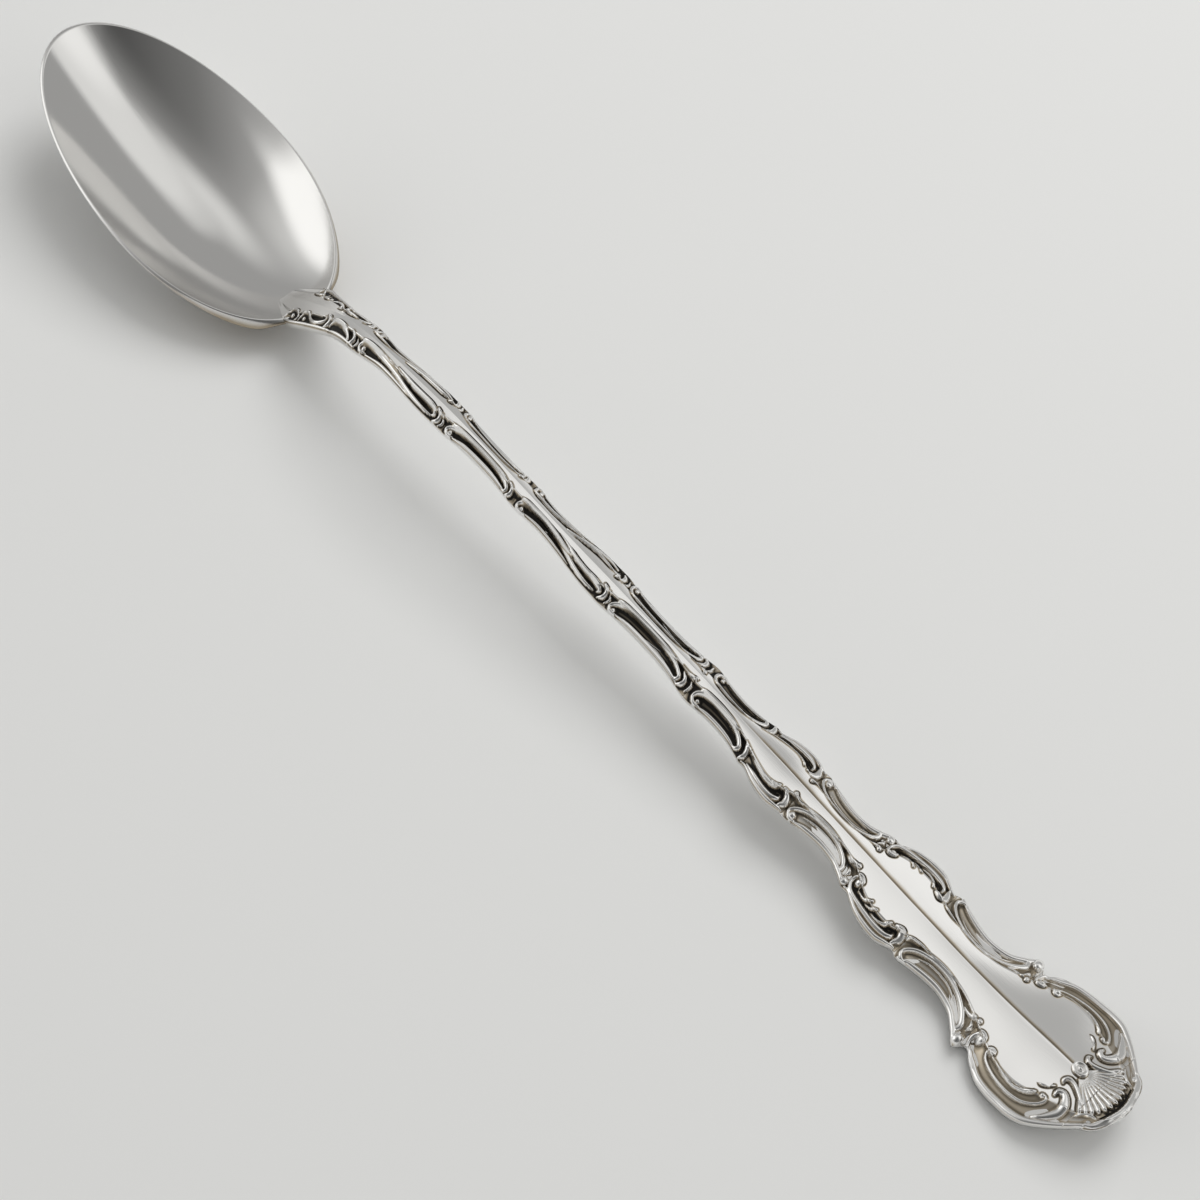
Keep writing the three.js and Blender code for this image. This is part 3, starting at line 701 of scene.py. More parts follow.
# %% Neck scroll
draw(
    start=start_of("neck_scroll"),
    strokes=[
        # rail
        [(-0.3, 1.7, 0.13), (-0.1, 1.2, 0.23), (0.8, 0.95, 0.29), (2, 1, 0.29), (3.2, 1.35, 0.31),
         (3.8, 1.85, 0.26), (3.5, 2.15, 0.1)],
        # crescent
        [(4, 0.9, 0.14), (4.6, 1.3, 0.32), (4.6, 1.85, 0.32), (4.2, 2.2, 0.14)],
        # second crescent
        [(5.2, 1.1, 0.11), (5.5, 1.5, 0.22), (5.3, 2, 0.14)],
    ],
    rims=[[(-0.2, 0.14), (1.5, 0.27), (3.5, 0.24), (5.3, 0.14)]],
)

# %% First stem scroll
draw(
    start=start_of("stem_scroll_1"),
    strokes=[
        # rail
        [(1.5, 1.75, 0.13), (0.7, 1.95, 0.23), (0.15, 1.6, 0.29), (0.4, 1.1, 0.29), (1.4, 0.85, 0.29),
         (3.1, 0.8, 0.29), (5.1, 0.95, 0.29), (7.1, 1.2, 0.31), (9.1, 1.5, 0.31), (11.1, 1.75, 0.31),
         (13.1, 1.85, 0.26), (14.5, 1.75, 0.13)],
        # second rail
        [(7.1, 0.6, 0.1), (8.6, 0.75, 0.2), (10.6, 0.95, 0.26), (12.6, 1, 0.29), (14.1, 1.05, 0.29),
         (14.9, 1.35, 0.26), (14.6, 1.65, 0.13)],
        # crescent
        [(15.1, 0.8, 0.14), (15.7, 1.2, 0.34), (15.7, 1.75, 0.34), (15.2, 2.1, 0.14)],
        # second crescent
        [(16.1, 1, 0.11), (16.5, 1.5, 0.22), (16.2, 2.05, 0.11)],
    ],
    beads=[(0.85, 1.5, 0.34)],
    rims=[[(1.7, 0.14), (4.1, 0.23), (6.6, 0.23), (9.1, 0.16), (10.6, 0.08)]],
)

# %% Second stem scroll
draw(
    start=start_of("stem_scroll_2"),
    strokes=[
        # rail
        [(1.6, 1.75, 0.13), (0.9, 1.95, 0.23), (0.3, 1.65, 0.29), (0.6, 1.2, 0.29), (1.6, 0.9, 0.26),
         (3.5, 0.7, 0.23), (6, 0.64, 0.23), (8.5, 0.68, 0.23), (10.2, 0.85, 0.29), (11.2, 1.2, 0.34),
         (11.3, 1.6, 0.29), (10.8, 1.75, 0.13)],
        # crescent
        [(11.5, 0.75, 0.14), (12, 1.15, 0.34), (12, 1.6, 0.34), (11.6, 1.95, 0.14)],
    ],
    twins=[[(1.8, 0.14), (3.5, 0.26), (6, 0.29), (8.5, 0.29), (10.5, 0.2), (11.4, 0.12)]],
    beads=[(0.95, 1.6, 0.34)],
)

# %% Third stem scroll
draw(
    start=start_of("stem_scroll_3"),
    strokes=[
        # rail
        [(1.9, 1.75, 0.13), (1.1, 1.95, 0.23), (0.4, 1.65, 0.29), (0.7, 1.15, 0.29), (1.7, 0.85, 0.29),
         (3.7, 0.7, 0.26), (5.2, 0.75, 0.26), (7.2, 1, 0.29), (9.2, 1.4, 0.31), (11.2, 1.85, 0.31),
         (13.2, 2.1, 0.29), (14.7, 2.05, 0.16)],
        # second rail
        [(7.2, 0.5, 0.1), (8.7, 0.75, 0.21), (10.7, 1.15, 0.26), (12.7, 1.37, 0.29), (14.5, 1.35, 0.29),
         (15.5, 1.5, 0.26), (15.3, 1.85, 0.13)],
        # crescent
        [(15.7, 0.8, 0.14), (16.3, 1.2, 0.34), (16.3, 1.8, 0.34), (15.8, 2.25, 0.14)],
        # second crescent
        [(16.8, 1, 0.11), (17.2, 1.5, 0.22), (16.9, 2.1, 0.11)],
    ],
    beads=[(1.15, 1.6, 0.34)],
    rims=[[(2, 0.14), (3.7, 0.23), (6.2, 0.23), (8.7, 0.16), (10.2, 0.08)]],
)

# %% Fourth stem scroll
draw(
    start=start_of("stem_scroll_4"),
    strokes=[
        # rail
        [(1.7, 2.05, 0.13), (0.9, 2.3, 0.23), (0.3, 1.95, 0.29), (0.5, 1.45, 0.29), (1.3, 1, 0.29),
         (2.8, 0.75, 0.26), (4.8, 0.66, 0.25), (7.3, 0.66, 0.25), (9.8, 0.8, 0.26), (11.3, 1.1, 0.31),
         (12.3, 1.6, 0.34), (12.3, 2.05, 0.29), (11.8, 2.1, 0.13)],
        # crescent
        [(12.5, 0.95, 0.14), (13.2, 1.45, 0.35), (13.2, 2.05, 0.35), (12.7, 2.45, 0.14)],
        # second crescent
        [(14, 1.1, 0.11), (14.3, 1.6, 0.24), (14.1, 2.3, 0.14)],
        # leaf
        [(12.1, 0.72, 0.06), (13.2, 0.85, 0.14), (14.1, 0.8, 0.2)],
    ],
    twins=[[(1.7, 0.14), (3.3, 0.26), (6.3, 0.29), (9.3, 0.29), (11.3, 0.23), (12.5, 0.12)]],
    beads=[(0.95, 1.95, 0.34), (14.4, 0.62, 0.26)],
)

# %% [markdown]
# The blade's scrolls and lobes
#
# On the blade the strokes are broader. C-scrolls draw the outline in, lobes swell it, and small leaves lie on
# the panel's edge between them.

# %% Waist scroll
draw(
    start=start_of("waist_scroll"),
    strokes=[
        # rail
        [(2, 2.3, 0.13), (1.2, 2.5, 0.26), (0.55, 2.1, 0.31), (0.7, 1.5, 0.31), (1.5, 1.05, 0.31),
         (2.8, 0.88, 0.3), (4.6, 0.85, 0.3), (6.4, 1, 0.31), (7.8, 1.45, 0.36), (8.6, 2.05, 0.39),
         (8.5, 2.5, 0.31), (7.9, 2.6, 0.13)],
        # crescent
        [(9.1, 1.35, 0.14), (9.7, 1.9, 0.41), (9.8, 2.5, 0.41), (9.5, 3, 0.16)],
    ],
    beads=[(1.35, 2.05, 0.3)],
    rims=[[(1.8, 0.14), (3.1, 0.27), (5.1, 0.3), (6.9, 0.27), (8.4, 0.14)]],
)

# %% First lobe
draw(
    start=start_of("first_lobe"),
    strokes=[
        # fine rail
        [(-1.2, 1.35, 0.06), (0.2, 1.9, 0.16), (2, 2.38, 0.22), (3.4, 2.52, 0.24), (4.5, 2.3, 0.24),
         (4.95, 1.9, 0.14)],
        # broad rail
        [(0.1, 2.75, 0.12), (1.6, 3.1, 0.32), (3.2, 3.4, 0.4), (4.6, 3.4, 0.4), (5.5, 3.05, 0.3),
         (5.6, 2.6, 0.14)],
        # crescent
        [(5.6, 1.8, 0.16), (6.3, 2.1, 0.43), (6.5, 2.75, 0.49), (6.1, 3.5, 0.22)],
        # leaf
        [(8.8, 1.4, 0.05), (7.8, 1.5, 0.14), (7.1, 1.4, 0.2)],
    ],
    beads=[(6.95, 1.28, 0.3)],
    rims=[[(-0.6, 0.11), (1.2, 0.24), (3.2, 0.3), (5.2, 0.3), (6.8, 0.14)]],
)

# %% Middle scroll
draw(
    start=start_of("middle_scroll"),
    strokes=[
        # rail
        [(1.6, 3.15, 0.1), (0.8, 3.45, 0.24), (0.1, 3, 0.28), (0.3, 2.4, 0.28), (1.2, 1.8, 0.28),
         (2.6, 1.4, 0.28), (4.6, 1.22, 0.28), (6.4, 1.35, 0.28), (7.9, 1.85, 0.32), (8.9, 2.6, 0.4),
         (9, 3.3, 0.36), (8.4, 3.55, 0.14)],
        # ledge
        [(1.8, 2.2, 0.05), (3.1, 1.85, 0.1), (4.8, 1.68, 0.1), (6.4, 1.8, 0.1), (7.8, 2.35, 0.05)],
        # crescent
        [(9.6, 2.3, 0.14), (10, 2.7, 0.34), (9.9, 3.2, 0.2)],
        # leaf
        [(8.1, 1.45, 0.06), (9.2, 1.72, 0.2), (10.2, 1.7, 0.26)],
    ],
    beads=[(0.75, 2.95, 0.46), (10.3, 3.75, 0.56), (10.45, 1.6, 0.32)],
    rims=[[(1.4, 0.16), (2.8, 0.35), (4.8, 0.38), (6.6, 0.38), (8.2, 0.4), (9.4, 0.4), (10.2, 0.25)]],
)

# %% Second lobe
draw(
    start=start_of("second_lobe"),
    strokes=[
        # broad rail
        [(1, 3.2, 0.1), (0.95, 2.5, 0.2), (0.3, 2.2, 0.26), (-0.25, 2.6, 0.28), (-0.3, 3.3, 0.3),
         (0.3, 3.95, 0.34), (1.6, 4.4, 0.38), (3.4, 4.7, 0.4), (5, 4.85, 0.42), (6.4, 4.75, 0.4),
         (7.2, 4.4, 0.32), (7.3, 3.95, 0.16)],
        # leaf tip
        [(1.1, 3.4, 0.06), (2, 3.65, 0.14), (2.7, 3.6, 0.17), (3.15, 3.3, 0.13)],
        # second tip
        [(2.6, 3.95, 0.06), (3.5, 3.9, 0.14), (4.15, 3.6, 0.15)],
        # third tip
        [(3.8, 4.2, 0.06), (5, 4.25, 0.18), (5.9, 3.95, 0.22), (6.35, 3.4, 0.15)],
        # crescent
        [(7, 3.15, 0.19), (7.8, 3.1, 0.46), (8.2, 3.7, 0.54), (7.8, 4.7, 0.24)],
        # tail
        [(8.5, 3.25, 0.2), (9.4, 2.75, 0.18), (10.6, 2.5, 0.12), (11.6, 2.45, 0.04)],
    ],
    beads=[(0.45, 2.85, 0.44), (3.2, 3.25, 0.17), (4.25, 3.55, 0.16), (6.4, 3.35, 0.19)],
    rims=[[(-0.4, 0.14), (1.2, 0.27), (3, 0.32), (5, 0.35), (6.9, 0.32), (8.4, 0.16)]],
)

# %% Shoulder scroll
draw(
    start=start_of("shoulder_scroll"),
    strokes=[
        # rail
        [(1.9, 4.9, 0.12), (0.9, 5.1, 0.28), (0.25, 4.6, 0.32), (0.5, 3.9, 0.32), (1.5, 3.15, 0.32),
         (3.1, 2.65, 0.3), (4.8, 2.48, 0.3), (6.5, 2.65, 0.32), (8.1, 3.2, 0.34), (9.5, 4.05, 0.4),
         (10.4, 5, 0.46), (10.5, 5.75, 0.4), (9.9, 6.05, 0.16)],
        # ledge
        [(2.1, 3.6, 0.05), (3.3, 3.12, 0.11), (4.9, 2.98, 0.11), (6.5, 3.15, 0.11), (8.1, 3.85, 0.11),
         (9.1, 4.6, 0.05)],
        # crescent
        [(11.1, 4.2, 0.14), (11.5, 4.65, 0.32), (11.35, 5.1, 0.16)],
        # leaf
        [(8.7, 3.3, 0.06), (10.1, 3.75, 0.2), (11.2, 3.8, 0.26)],
    ],
    beads=[(0.6, 5.2, 0.4), (11.4, 6.57, 0.78), (11.9, 3.75, 0.34)],
    rims=[
        [(0.9, 0.19), (2.3, 0.38), (4.6, 0.41), (6.5, 0.41), (8.1, 0.43), (9.4, 0.44), (10.6, 0.46),
         (11.3, 0.3)],
    ],
)

# %% [markdown]
# The end lobe
#
# The broad end carries the largest scroll. A thick rim leaves a volute, runs round the outline and rolls in
# beside the shell. Two fine rails and a tendril lie inside it.

# %% End lobe
draw(
    start=start_of("end_lobe"),
    strokes=[
        # volute
        [(1.6, 5.1, 0.12), (1.35, 4.55, 0.2), (0.7, 4.4, 0.26), (0.2, 4.85, 0.3), (0.1, 5.5, 0.34),
         (0.5, 6.4, 0.36), (1.6, 7.25, 0.36), (3, 7.85, 0.3)],
        # roll
        [(10.9, 7.2, 0.2), (11.6, 6.6, 0.4), (12.2, 5.85, 0.55), (12.7, 5, 0.62), (12.65, 4.15, 0.6),
         (12.2, 3.45, 0.52), (11.6, 3.1, 0.44), (11.05, 3.35, 0.38), (11.05, 3.85, 0.2)],
        # rail
        [(3.45, 5.4, 0.08), (3.2, 4.95, 0.14), (2.7, 4.95, 0.18), (2.45, 5.4, 0.2), (2.8, 6, 0.2),
         (3.8, 6.5, 0.2), (5.2, 6.88, 0.21), (7, 7.05, 0.22), (8.8, 6.8, 0.22), (10.1, 6.05, 0.22),
         (10.75, 5.2, 0.22), (10.6, 4.75, 0.16), (10.2, 4.6, 0.08)],
        # fine rail
        [(3.8, 5.65, 0.06), (5.2, 6.08, 0.13), (7, 6.25, 0.16), (8.2, 5.95, 0.2), (9, 5.45, 0.26),
         (9.35, 5.05, 0.16)],
        # tendril
        [(8.6, 3.75, 0.08), (9.15, 4.05, 0.2), (9.8, 3.65, 0.22), (10.35, 3.05, 0.1)],
    ],
    rims=[
        [(0.4, 0.2), (1.6, 0.4), (3.6, 0.46), (7.5, 0.5), (9.6, 0.5), (11.5, 0.46), (13.4, 0.4),
         (15.4, 0.36)],
    ],
    beads=[(0.95, 5.05, 0.56), (2.95, 5.35, 0.38), (10.15, 4.85, 0.3), (9.2, 5.2, 0.24)],
)

# %% [markdown]
# The shell
#
# A scallop shell closes the handle. Its ribs are strokes that fan out from an oval button and end in a row of
# round tips. Two ears roll up beside the button. The ribs could be copies of one mesh, but strokes melt
# into the same surface as the rest.

# %% Shell fan
FAN_RIBS = 13
FAN_SPREAD = 47  # degrees to each side
FAN_REACH = (5.3, 4.7)  # mm from the button's middle, straight on and at the sides
RIB_LINE = ((0.2, 0.1), (0.5, 0.19), (0.75, 0.27), (0.93, 0.34), (1.0, 0.24))  # share of reach, half-width
EAR = [(-0.25, 2.25, 0.14), (-0.4, 1.9, 0.28), (0, 1.5, 0.34), (0.7, 1.55, 0.32), (1.6, 1.95, 0.3),
       (2.6, 2.55, 0.26), (3.35, 3.15, 0.14)]
LOOP = [(3.2, 4.0, 0.1), (3.7, 3.35, 0.2), (4.3, 2.9, 0.24), (4.9, 2.8, 0.12)]
END_RIM = [(-2.3, 4.1, 0.36), (-1.65, 3.6, 0.42), (-1.1, 2.6, 0.46), (-0.75, 1.6, 0.5), (-0.5, 0.7, 0.52),
           (-0.44, 0, 0.52)]
END_BEAD = (-2.2, 3.75, 0.42)  # all of these lie on the left, and the piece mirrors them
button_low, button_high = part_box("shell_button")
BUTTON = (button_low + button_high) / 2
handle_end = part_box("handle_blade")[1].x

ribs = []
for i in range(FAN_RIBS // 2 + 1):
    lean = 2 * i / (FAN_RIBS - 1)
    turn = math.radians(FAN_SPREAD) * lean
    reach = FAN_REACH[0] + (FAN_REACH[1] - FAN_REACH[0]) * lean * lean
    ribs.append([(reach * r * math.cos(turn), reach * r * math.sin(turn), w) for r, w in RIB_LINE])
draw(ribs + [EAR, LOOP], start=BUTTON.x)
draw([END_RIM], beads=[END_BEAD], start=handle_end)
print("strokes in all:", len(STROKES))

# %% [markdown]
# Raising the relief
#
# A fine grid is laid over the border and lifted under every stroke. Where two strokes meet, a soft maximum
# rounds the join as a die would. What lies lower than its surroundings gets painted shade, so the grid also
# compares each point with the average round it.

# %% Height of a stroke
STROKE_HEIGHT = 0.62 * MM  # most that a stroke stands over the border
STEEPNESS = 1.9  # height of a stroke over its half-width
CROWN_POWER = 0.7  # 0.5 would be half a circle
BEAD_HEIGHT = 1.25  # over its radius
TWIN_LINE = 0.55  # a twin has two ridges, here in its half-width
TWIN_HALF = 0.45  # half-width of each ridge
TWIN_GROOVE = 0.45  # height between the ridges


def stroke_height(kind, q, width):
    """Height of a stroke at a share q of its half-width from its middle line."""
    crown = np.maximum(1 - q * q, 0)
    if kind == "bead":
        return width * BEAD_HEIGHT * np.sqrt(crown)
    height = np.minimum(STROKE_HEIGHT, STEEPNESS * width)
    if kind == "twin":
        ridge = np.maximum(1 - ((q - TWIN_LINE) / TWIN_HALF) ** 2, 0) ** CROWN_POWER
        return height * np.maximum(ridge, TWIN_GROOVE * (q < TWIN_LINE))
    return height * crown ** CROWN_POWER


tallest = max(stroke_height(kind, 0 * line[:, 2], line[:, 2]).max() for kind, line in STROKES)
print("tallest stroke or bead:", round(tallest / MM, 2), "mm")

# %% All strokes together
JOIN = 0.08 * MM  # how soft the joins are
HALO = 0.3 * MM  # dark outline of what lies on the panel
THINNEST = 0.02 * MM


def relief(x, y):
    """Height of all strokes together over the upper side, and how close a stroke is, for arrays of places."""
    total, close = np.zeros(x.shape), np.zeros(x.shape)
    for kind, line in STROKES:
        reach = line[:, 2].max() + HALO
        near = ((x > line[:, 0].min() - reach) & (x < line[:, 0].max() + reach)
                & (y > line[:, 1].min() - reach) & (y < line[:, 1].max() + reach))
        if not near.any():
            continue
        away = np.hypot(x[near][:, None] - line[:, 0], y[near][:, None] - line[:, 1])
        width = np.maximum(line[:, 2], THINNEST)
        own = stroke_height(kind, away / width, width).max(axis=1)
        close[near] = np.maximum(close[near], 1 - (away - width).min(axis=1) / HALO)
        both = total[near]
        total[near] = np.maximum(both, own) + rounding(both - own, JOIN) * (own > 0)
    return total, np.clip(close, 0, 1)


rim_crest = relief(np.array([handle_end + END_RIM[-1][0] * MM]), np.zeros(1))[0][0]
print("end rim:", round(rim_crest / MM, 2), "mm over the blade")

# %% Patches of relief
GRID = 0.09 * MM
FEWEST = 4  # squares along a patch and across it
WIDTH_PLACES = 9  # at which a patch's width is measured
SUNK = 0.03 * MM  # under the panel where there is no stroke
PROUD = 0.012 * MM  # over the panel beside a stroke
LOW = 0.22 * MM  # relief under this is tarnished ground
AROUND = 4  # points that count as surroundings
CREVICE_DEPTH = 0.10 * MM
CREVICE_PAINTED_SHADE = ((60, 0.6), (80, 0.3))  # painted shade in what lies lower than its surroundings: mm along, amount
HALO_TARNISH = 0.75
SPOOL = 1.3 * MM  # beside the end of a scroll, the ground is cleaner
SPOOL_TARNISH = 0.5


def surroundings(z, reach):
    """Average of a grid over a square of points round each."""
    for axis in (0, 1):
        pad = [(reach + 1, reach) if a == axis else (0, 0) for a in (0, 1)]
        total = np.cumsum(np.pad(z, pad, mode="edge"), axis=axis)
        size = z.shape[axis]
        high = np.take(total, np.arange(2 * reach + 1, 2 * reach + 1 + size), axis=axis)
        low = np.take(total, np.arange(size), axis=axis)
        z = (high - low) / (2 * reach + 1)
    return z


def patch(x_range, y_range):
    """Places of a grid between two x, and between the two distances from the middle that y_range gives."""
    low, high = y_range(np.linspace(*x_range, WIDTH_PLACES))
    rows = max(FEWEST, round((x_range[1] - x_range[0]) / GRID))
    columns = max(FEWEST, round(float(np.max(high - low)) / GRID))
    x = np.repeat(np.linspace(*x_range, rows + 1)[:, None], columns + 1, axis=1)
    low, high = (np.broadcast_to(edge[:, None], x.shape) for edge in y_range(x[:, 0]))
    return x, low + (high - low) * np.linspace(0, 1, columns + 1)


def patch_surface(x, y):
    """Height of the relief at the places of a patch, and its tarnish with painted shade in crevices."""
    inside = np.clip(np.abs(y), 0, along("outer", x))
    on_panel = np.abs(y) < along("panel", x)
    raised, close = relief(x, np.abs(y))
    base = seated(x, y, top_height(x, inside)) + np.where(on_panel, blend(-SUNK, PROUD, 2 * close), 0)
    z = base + raised
    low_ground = np.clip(1 - raised / LOW, 0, 1)
    # Painted shade: what lies lower than the average round it is darkened.
    crevice_shade = np.clip((surroundings(z, AROUND) - z) / CREVICE_DEPTH, 0, 1)
    spool = blend(SPOOL_TARNISH, 1, np.minimum(x - x[0, 0], x[-1, 0] - x) / SPOOL)
    ground = np.where(on_panel, np.maximum(panel_tarnish(x), HALO_TARNISH * close), border_tarnish(x) * spool)
    return z, np.clip(ground * low_ground + from_list(CREVICE_PAINTED_SHADE, x) * crevice_shade, 0, 1)


print("relief is raised on a grid of", GRID / MM, "mm")

# %% Border pieces
SKIRT = 0.45 * MM  # how far a patch's edge is let into the bar
SKIRT_TARNISH = 0.06
SIDES = (("left", 1), ("right", -1))
INWARD = (1.3 * MM, 0.5)  # most that a patch reaches onto the panel, and as a share of its half-width
OVERHANG = 0.03 * MM  # past the outline
EARLY = 0.8 * MM  # the first patch starts before its leaf, where the volute curls
BORDER = ("neck_leaf", "neck_scroll", "stem_scroll_1", "stem_scroll_2", "stem_scroll_3", "stem_scroll_4",
          "waist_scroll", "first_lobe", "middle_scroll", "second_lobe", "shoulder_scroll", "end_lobe")


def relief_piece(name, node, x_range, y_range, side=1):
    """A raised patch with a skirt round its edge."""
    x, y = patch(x_range, y_range)
    z, dark = patch_surface(x, y)
    rows, columns = x.shape
    bm = bmesh.new()
    layer = bm.verts.layers.float.new(TARNISH_AND_SHADE)
    made = bmesh.ops.create_grid(bm, x_segments=columns - 1, y_segments=rows - 1, size=1)["verts"]
    for i, v in enumerate(made):
        place = divmod(i, columns)
        v.co = (x[place], side * y[place], z[place])
        v[layer] = dark[place]
    rim = [e for e in bm.edges if e.is_boundary]
    skirt = bmesh.ops.extrude_edge_only(bm, edges=rim)["geom"]
    for v in (part for part in skirt if isinstance(part, bmesh.types.BMVert)):
        v.co.z = min(v.co.z, along("border", v.co.x)) - SKIRT
        v[layer] = SKIRT_TARNISH
    return piece(name, bm, [node], RELIEF_SILVER)


def border_range(x):
    """From a little way onto the panel to the outline."""
    panel, outer = along("panel", x), along("outer", x)
    return panel - np.minimum(INWARD[0], INWARD[1] * panel), outer + OVERHANG


border_ends = [start_of(BORDER[0]) - EARLY]
for before, after in zip(BORDER, BORDER[1:]):
    border_ends.append((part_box(f"{before}_left")[1].x + start_of(after)) / 2)
border_ends.append(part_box("end_lobe_left")[1].x)
for border_name, border_low, border_high in zip(BORDER, border_ends, border_ends[1:]):
    for side_name, side in SIDES:
        relief_piece(f"spoon_{border_name}_{side_name}", f"{border_name}_{side_name}",
                     (border_low, border_high), border_range, side)

# %% Shell and end rim pieces
SHELL_HALF = 4.4 * MM
SHELL_BACK = 1 * MM  # the shell's patch starts this far before the button's middle


def shell_range(x):
    """Both sides of the middle, as far as the shell reaches."""
    half = np.minimum(along("outer", x), SHELL_HALF)
    return -half, half


def end_range(x):
    """From outline to outline."""
    half = along("outer", x) + OVERHANG
    return -half, half


rim_start = border_ends[-1]
relief_piece("spoon_shell_fan", "shell_fan", (BUTTON.x - SHELL_BACK, rim_start), shell_range)
relief_piece("spoon_end_rim", "end_rim", (rim_start, handle_end), end_range)

# %% [markdown]
# The button
#
# The shell's ribs fan out from a small oval boss. It could be raised with the relief, but a turned form has a
# crisper rim: a profile with a hollow top is spun round, then pressed to an oval.

# %% Button
BUTTON_PROFILE = ((1.0, -0.4), (1.0, 0.5), (0.93, 0.75), (0.8, 0.86), (0.66, 0.8), (0.55, 0.62), (0.42, 0.6),
                  (0.3, 0.74), (0.16, 0.86), (0, 0.9))  # shares of radius and height
BUTTON_OVAL = 0.78
BUTTON_STEPS = 48
BUTTON_WELD = 1e-7
BUTTON_CLEAN = 0.75  # share of the height over which a cloth reaches it
BUTTON_TARNISH = 1.28  # for each share of the height under that


def shell_button():
    """The turned button, in the middle of the shell."""
    bm = bmesh.new()
    layer = bm.verts.layers.float.new(TARNISH_AND_SHADE)
    radius, height = (button_high.x - button_low.x) / 2, button_high.z - button_low.z
    turned(bm, [(r * radius, h * height) for r, h in BUTTON_PROFILE], BUTTON_STEPS, BUTTON_WELD)
    for v in bm.verts:
        v[layer] = BUTTON_TARNISH * max(0, BUTTON_CLEAN - v.co.z / height)
        v.co = (BUTTON.x + v.co.x, v.co.y * BUTTON_OVAL, button_low.z + v.co.z)
    return piece("spoon_shell_button", bm, ["shell_button"], RELIEF_SILVER)


shell_button()

# %% [markdown]
# The room
#
# Polished silver shows the room more than itself, so the room is a soft pattern of brightness by direction.
# The far side is an even grey, and the near side goes from dark on the right to bright on the left. Soft
# ovals of light stand in it, and a broad window low on the near left. Area lights would do, but their hard
# edges would show in the bowl.

# %% Helpers for the room
ROOM_WARMTH = 0.985  # blue of its greys, as a share of the red

world = bpy.data.worlds.new("studio")
world.use_nodes = True
scene.world = world
room = world.node_tree.nodes
room_link = world.node_tree.links.new
towards = room.new("ShaderNodeTexCoord").outputs["Generated"]
axes = room.new("ShaderNodeSeparateXYZ")
room_link(towards, axes.inputs["Vector"])


def warm(grey):
    """A grey of the room as a colour."""
    return grey, grey, grey * ROOM_WARMTH, 1


def soft_step(value, start, end, low=0.0, high=1.0):
    """From low to high as the value goes from start to end, with a soft start and end."""
    node = room.new("ShaderNodeMapRange")
    node.interpolation_type = "SMOOTHSTEP"
    for socket, number in (("From Min", start), ("From Max", end), ("To Min", low), ("To Max", high)):
        node.inputs[socket].default_value = number
    room_link(value, node.inputs["Value"])
    return node.outputs["Result"]


def lit(mask, color, grey):
    """The colour, turned to a grey where the mask is 1."""
    mix = room.new("ShaderNodeMix")
    mix.data_type = "RGBA"
    mix.inputs["B"].default_value = warm(grey)
    room_link(mask, mix.inputs["Factor"])
    room_link(color, mix.inputs["A"])
    return mix.outputs["Result"]


print("world:", world.name)

# %% Two sides of the room
NEAR_GREYS = ((-0.9, 0.9), (-0.65, 0.745), (-0.45, 0.585), (-0.3, 0.42), (-0.15, 0.29), (0, 0.2),
              (0.2, 0.13), (0.5, 0.07))  # across the near side: x of the direction, grey
FAR_GREY = 0.39
NEAR_TO_FAR = (-0.6, 0.2)  # y of the direction, over which the near side turns to the far side

near_side = room.new("ShaderNodeValToRGB")
for i, (x, grey) in enumerate(NEAR_GREYS):
    stop = near_side.color_ramp.elements[0] if i == 0 else near_side.color_ramp.elements.new(0.5)
    stop.position = (x + 1) / 2
    stop.color = warm(grey)
near_side.color_ramp.elements.remove(near_side.color_ramp.elements[-1])
ramp_place = room.new("ShaderNodeMapRange")
ramp_place.inputs["From Min"].default_value = -1
room_link(axes.outputs["X"], ramp_place.inputs["Value"])
room_link(ramp_place.outputs["Result"], near_side.inputs["Fac"])
room_color = lit(soft_step(axes.outputs["Y"], *NEAR_TO_FAR), near_side.outputs["Color"], FAR_GREY)
print("near side:", len(near_side.color_ramp.elements), "greys")

# %% Glows
GLOWS = (  # middle in x and y, reach in x and y, even part of the reach, grey
    ((0.47, 0.38), (0.86, 0.38), 0.69, 0.84),
    ((-0.2, 0.1), (0.75, 0.34), 0.0, 0.79),
    ((0.65, 0.24), (0.43, 0.50), 0.27, 1.02),
)


def glow(middle, reach, even):
    """1 in the middle of an oval of directions, falling softly to 0 at its edge."""
    oval = room.new("ShaderNodeVectorMath")
    oval.operation = "MULTIPLY_ADD"
    oval.inputs[1].default_value = (1 / reach[0], 1 / reach[1], 0)
    oval.inputs[2].default_value = (-middle[0] / reach[0], -middle[1] / reach[1], 0)
    room_link(towards, oval.inputs[0])
    away = room.new("ShaderNodeVectorMath")
    away.operation = "LENGTH"
    room_link(oval.outputs["Vector"], away.inputs[0])
    return soft_step(away.outputs["Value"], even, 1, 1, 0)


for glow_middle, glow_reach, glow_even, glow_grey in GLOWS:
    room_color = lit(glow(glow_middle, glow_reach, glow_even), room_color, glow_grey)
print("glows:", len(GLOWS))

# %% Window
WINDOW_TOWARDS = (-0.707, -0.707, 0)
WINDOW_EDGE = (0.76, 0.89)  # how far a direction has to lean that way, over the window's soft edge
WINDOW_END = (-0.92, -0.8)  # y of the direction, over which the window ends on the right
WINDOW_GREY = 1.21

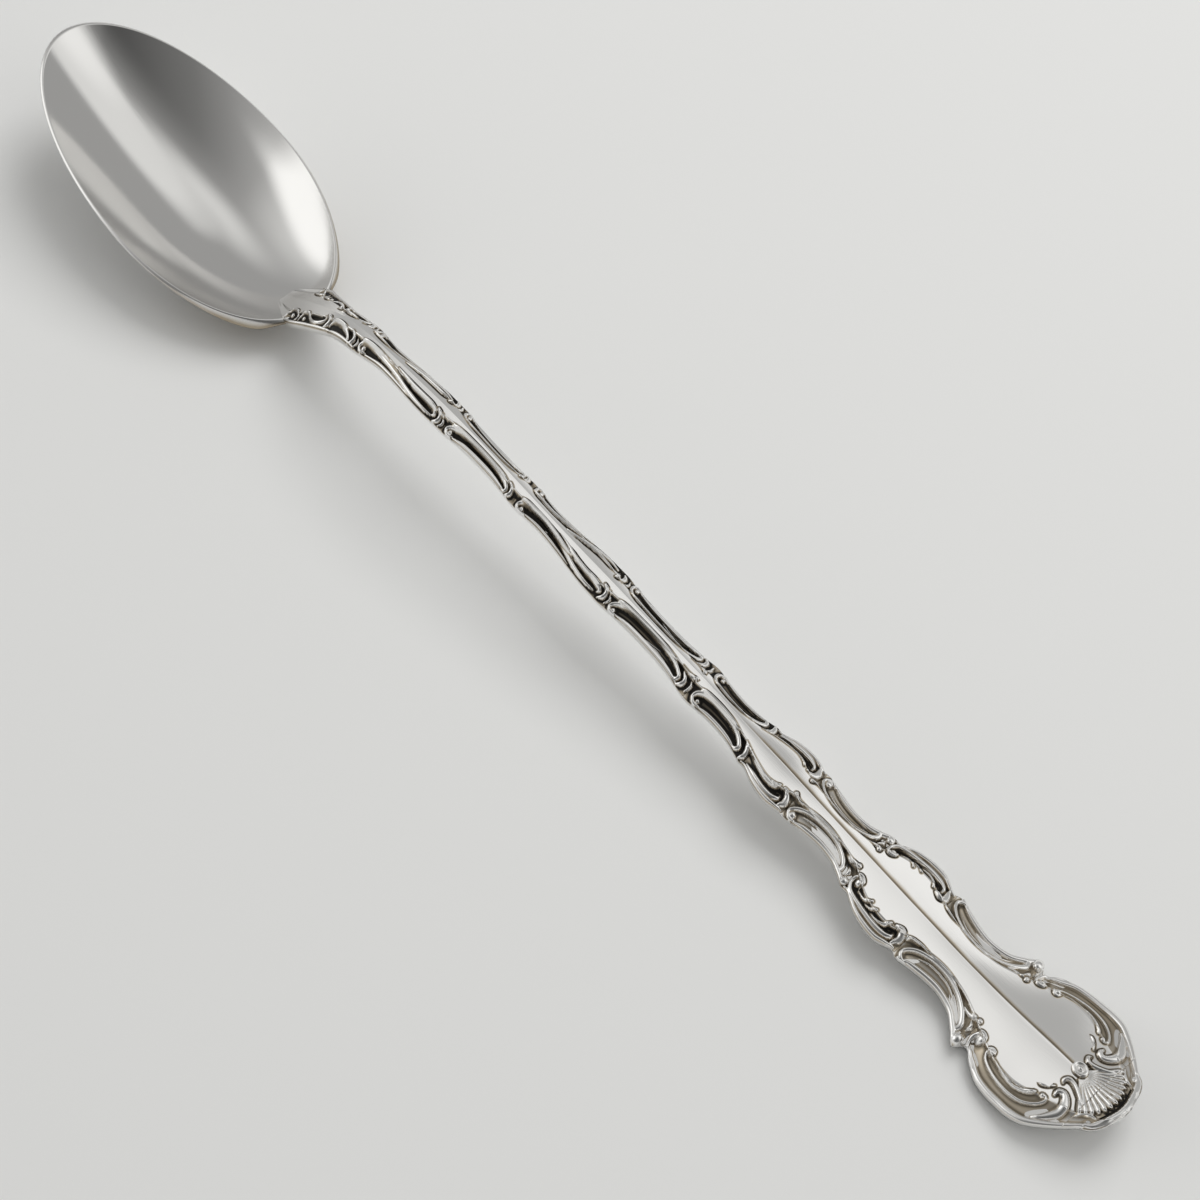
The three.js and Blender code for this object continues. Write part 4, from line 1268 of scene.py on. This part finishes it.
window = room.new("ShaderNodeVectorMath")
window.operation = "DOT_PRODUCT"
window.inputs[1].default_value = WINDOW_TOWARDS
room_link(towards, window.inputs[0])
window_mask = room.new("ShaderNodeMath")
window_mask.operation = "MULTIPLY"
room_link(soft_step(window.outputs["Value"], *WINDOW_EDGE), window_mask.inputs[0])
room_link(soft_step(axes.outputs["Y"], *WINDOW_END), window_mask.inputs[1])
room_color = lit(window_mask.outputs["Value"], room_color, WINDOW_GREY)
room_link(room_color, room["Background"].inputs["Color"])
print("room:", len(room), "nodes")

# %% [markdown]
# Table and lamp
#
# The table is plain pale paper. One soft lamp from the far side lights it and gives the spoon its shadow. The
# silver doesn't mirror the lamp, because the room already holds what it should show.

# %% Table and lamp
LAMP_TOWARDS = Vector((-0.1, 0.6, 0.8)).normalized()
LAMP_DISTANCE = 0.8  # metres
LAMP_SIZE = 0.5
LAMP_WATTS = 2.9
TABLE_HALF = 12  # metres, so that its edge lies out of sight
PAPER = (0.82, 0.82, 0.81, 1)
PAPER_ROUGHNESS = 0.8

lamp = bpy.data.objects.new("soft_lamp", bpy.data.lights.new("soft_lamp", "AREA"))
lamp.data.size = LAMP_SIZE
lamp.data.energy = LAMP_WATTS
lamp.location = LAMP_TOWARDS * LAMP_DISTANCE
lamp.rotation_euler = LAMP_TOWARDS.to_track_quat("Z", "Y").to_euler()
lamp.visible_glossy = False
scene.collection.objects.link(lamp)

floor_mesh = bpy.data.meshes.new("table_top")
floor_bm = bmesh.new()
bmesh.ops.create_grid(floor_bm, x_segments=1, y_segments=1, size=TABLE_HALF)
floor_bm.to_mesh(floor_mesh)
floor_bm.free()
table_top = bpy.data.objects.new("table_top", floor_mesh)
scene.collection.objects.link(table_top)
paper = bpy.data.materials.new("pale paper")
paper.use_nodes = True
paper_shader = paper.node_tree.nodes["Principled BSDF"]
paper_shader.inputs["Roughness"].default_value = PAPER_ROUGHNESS
paper_shader.inputs["Base Color"].default_value = PAPER
floor_mesh.materials.append(paper)
print("table: pale paper under one soft lamp")
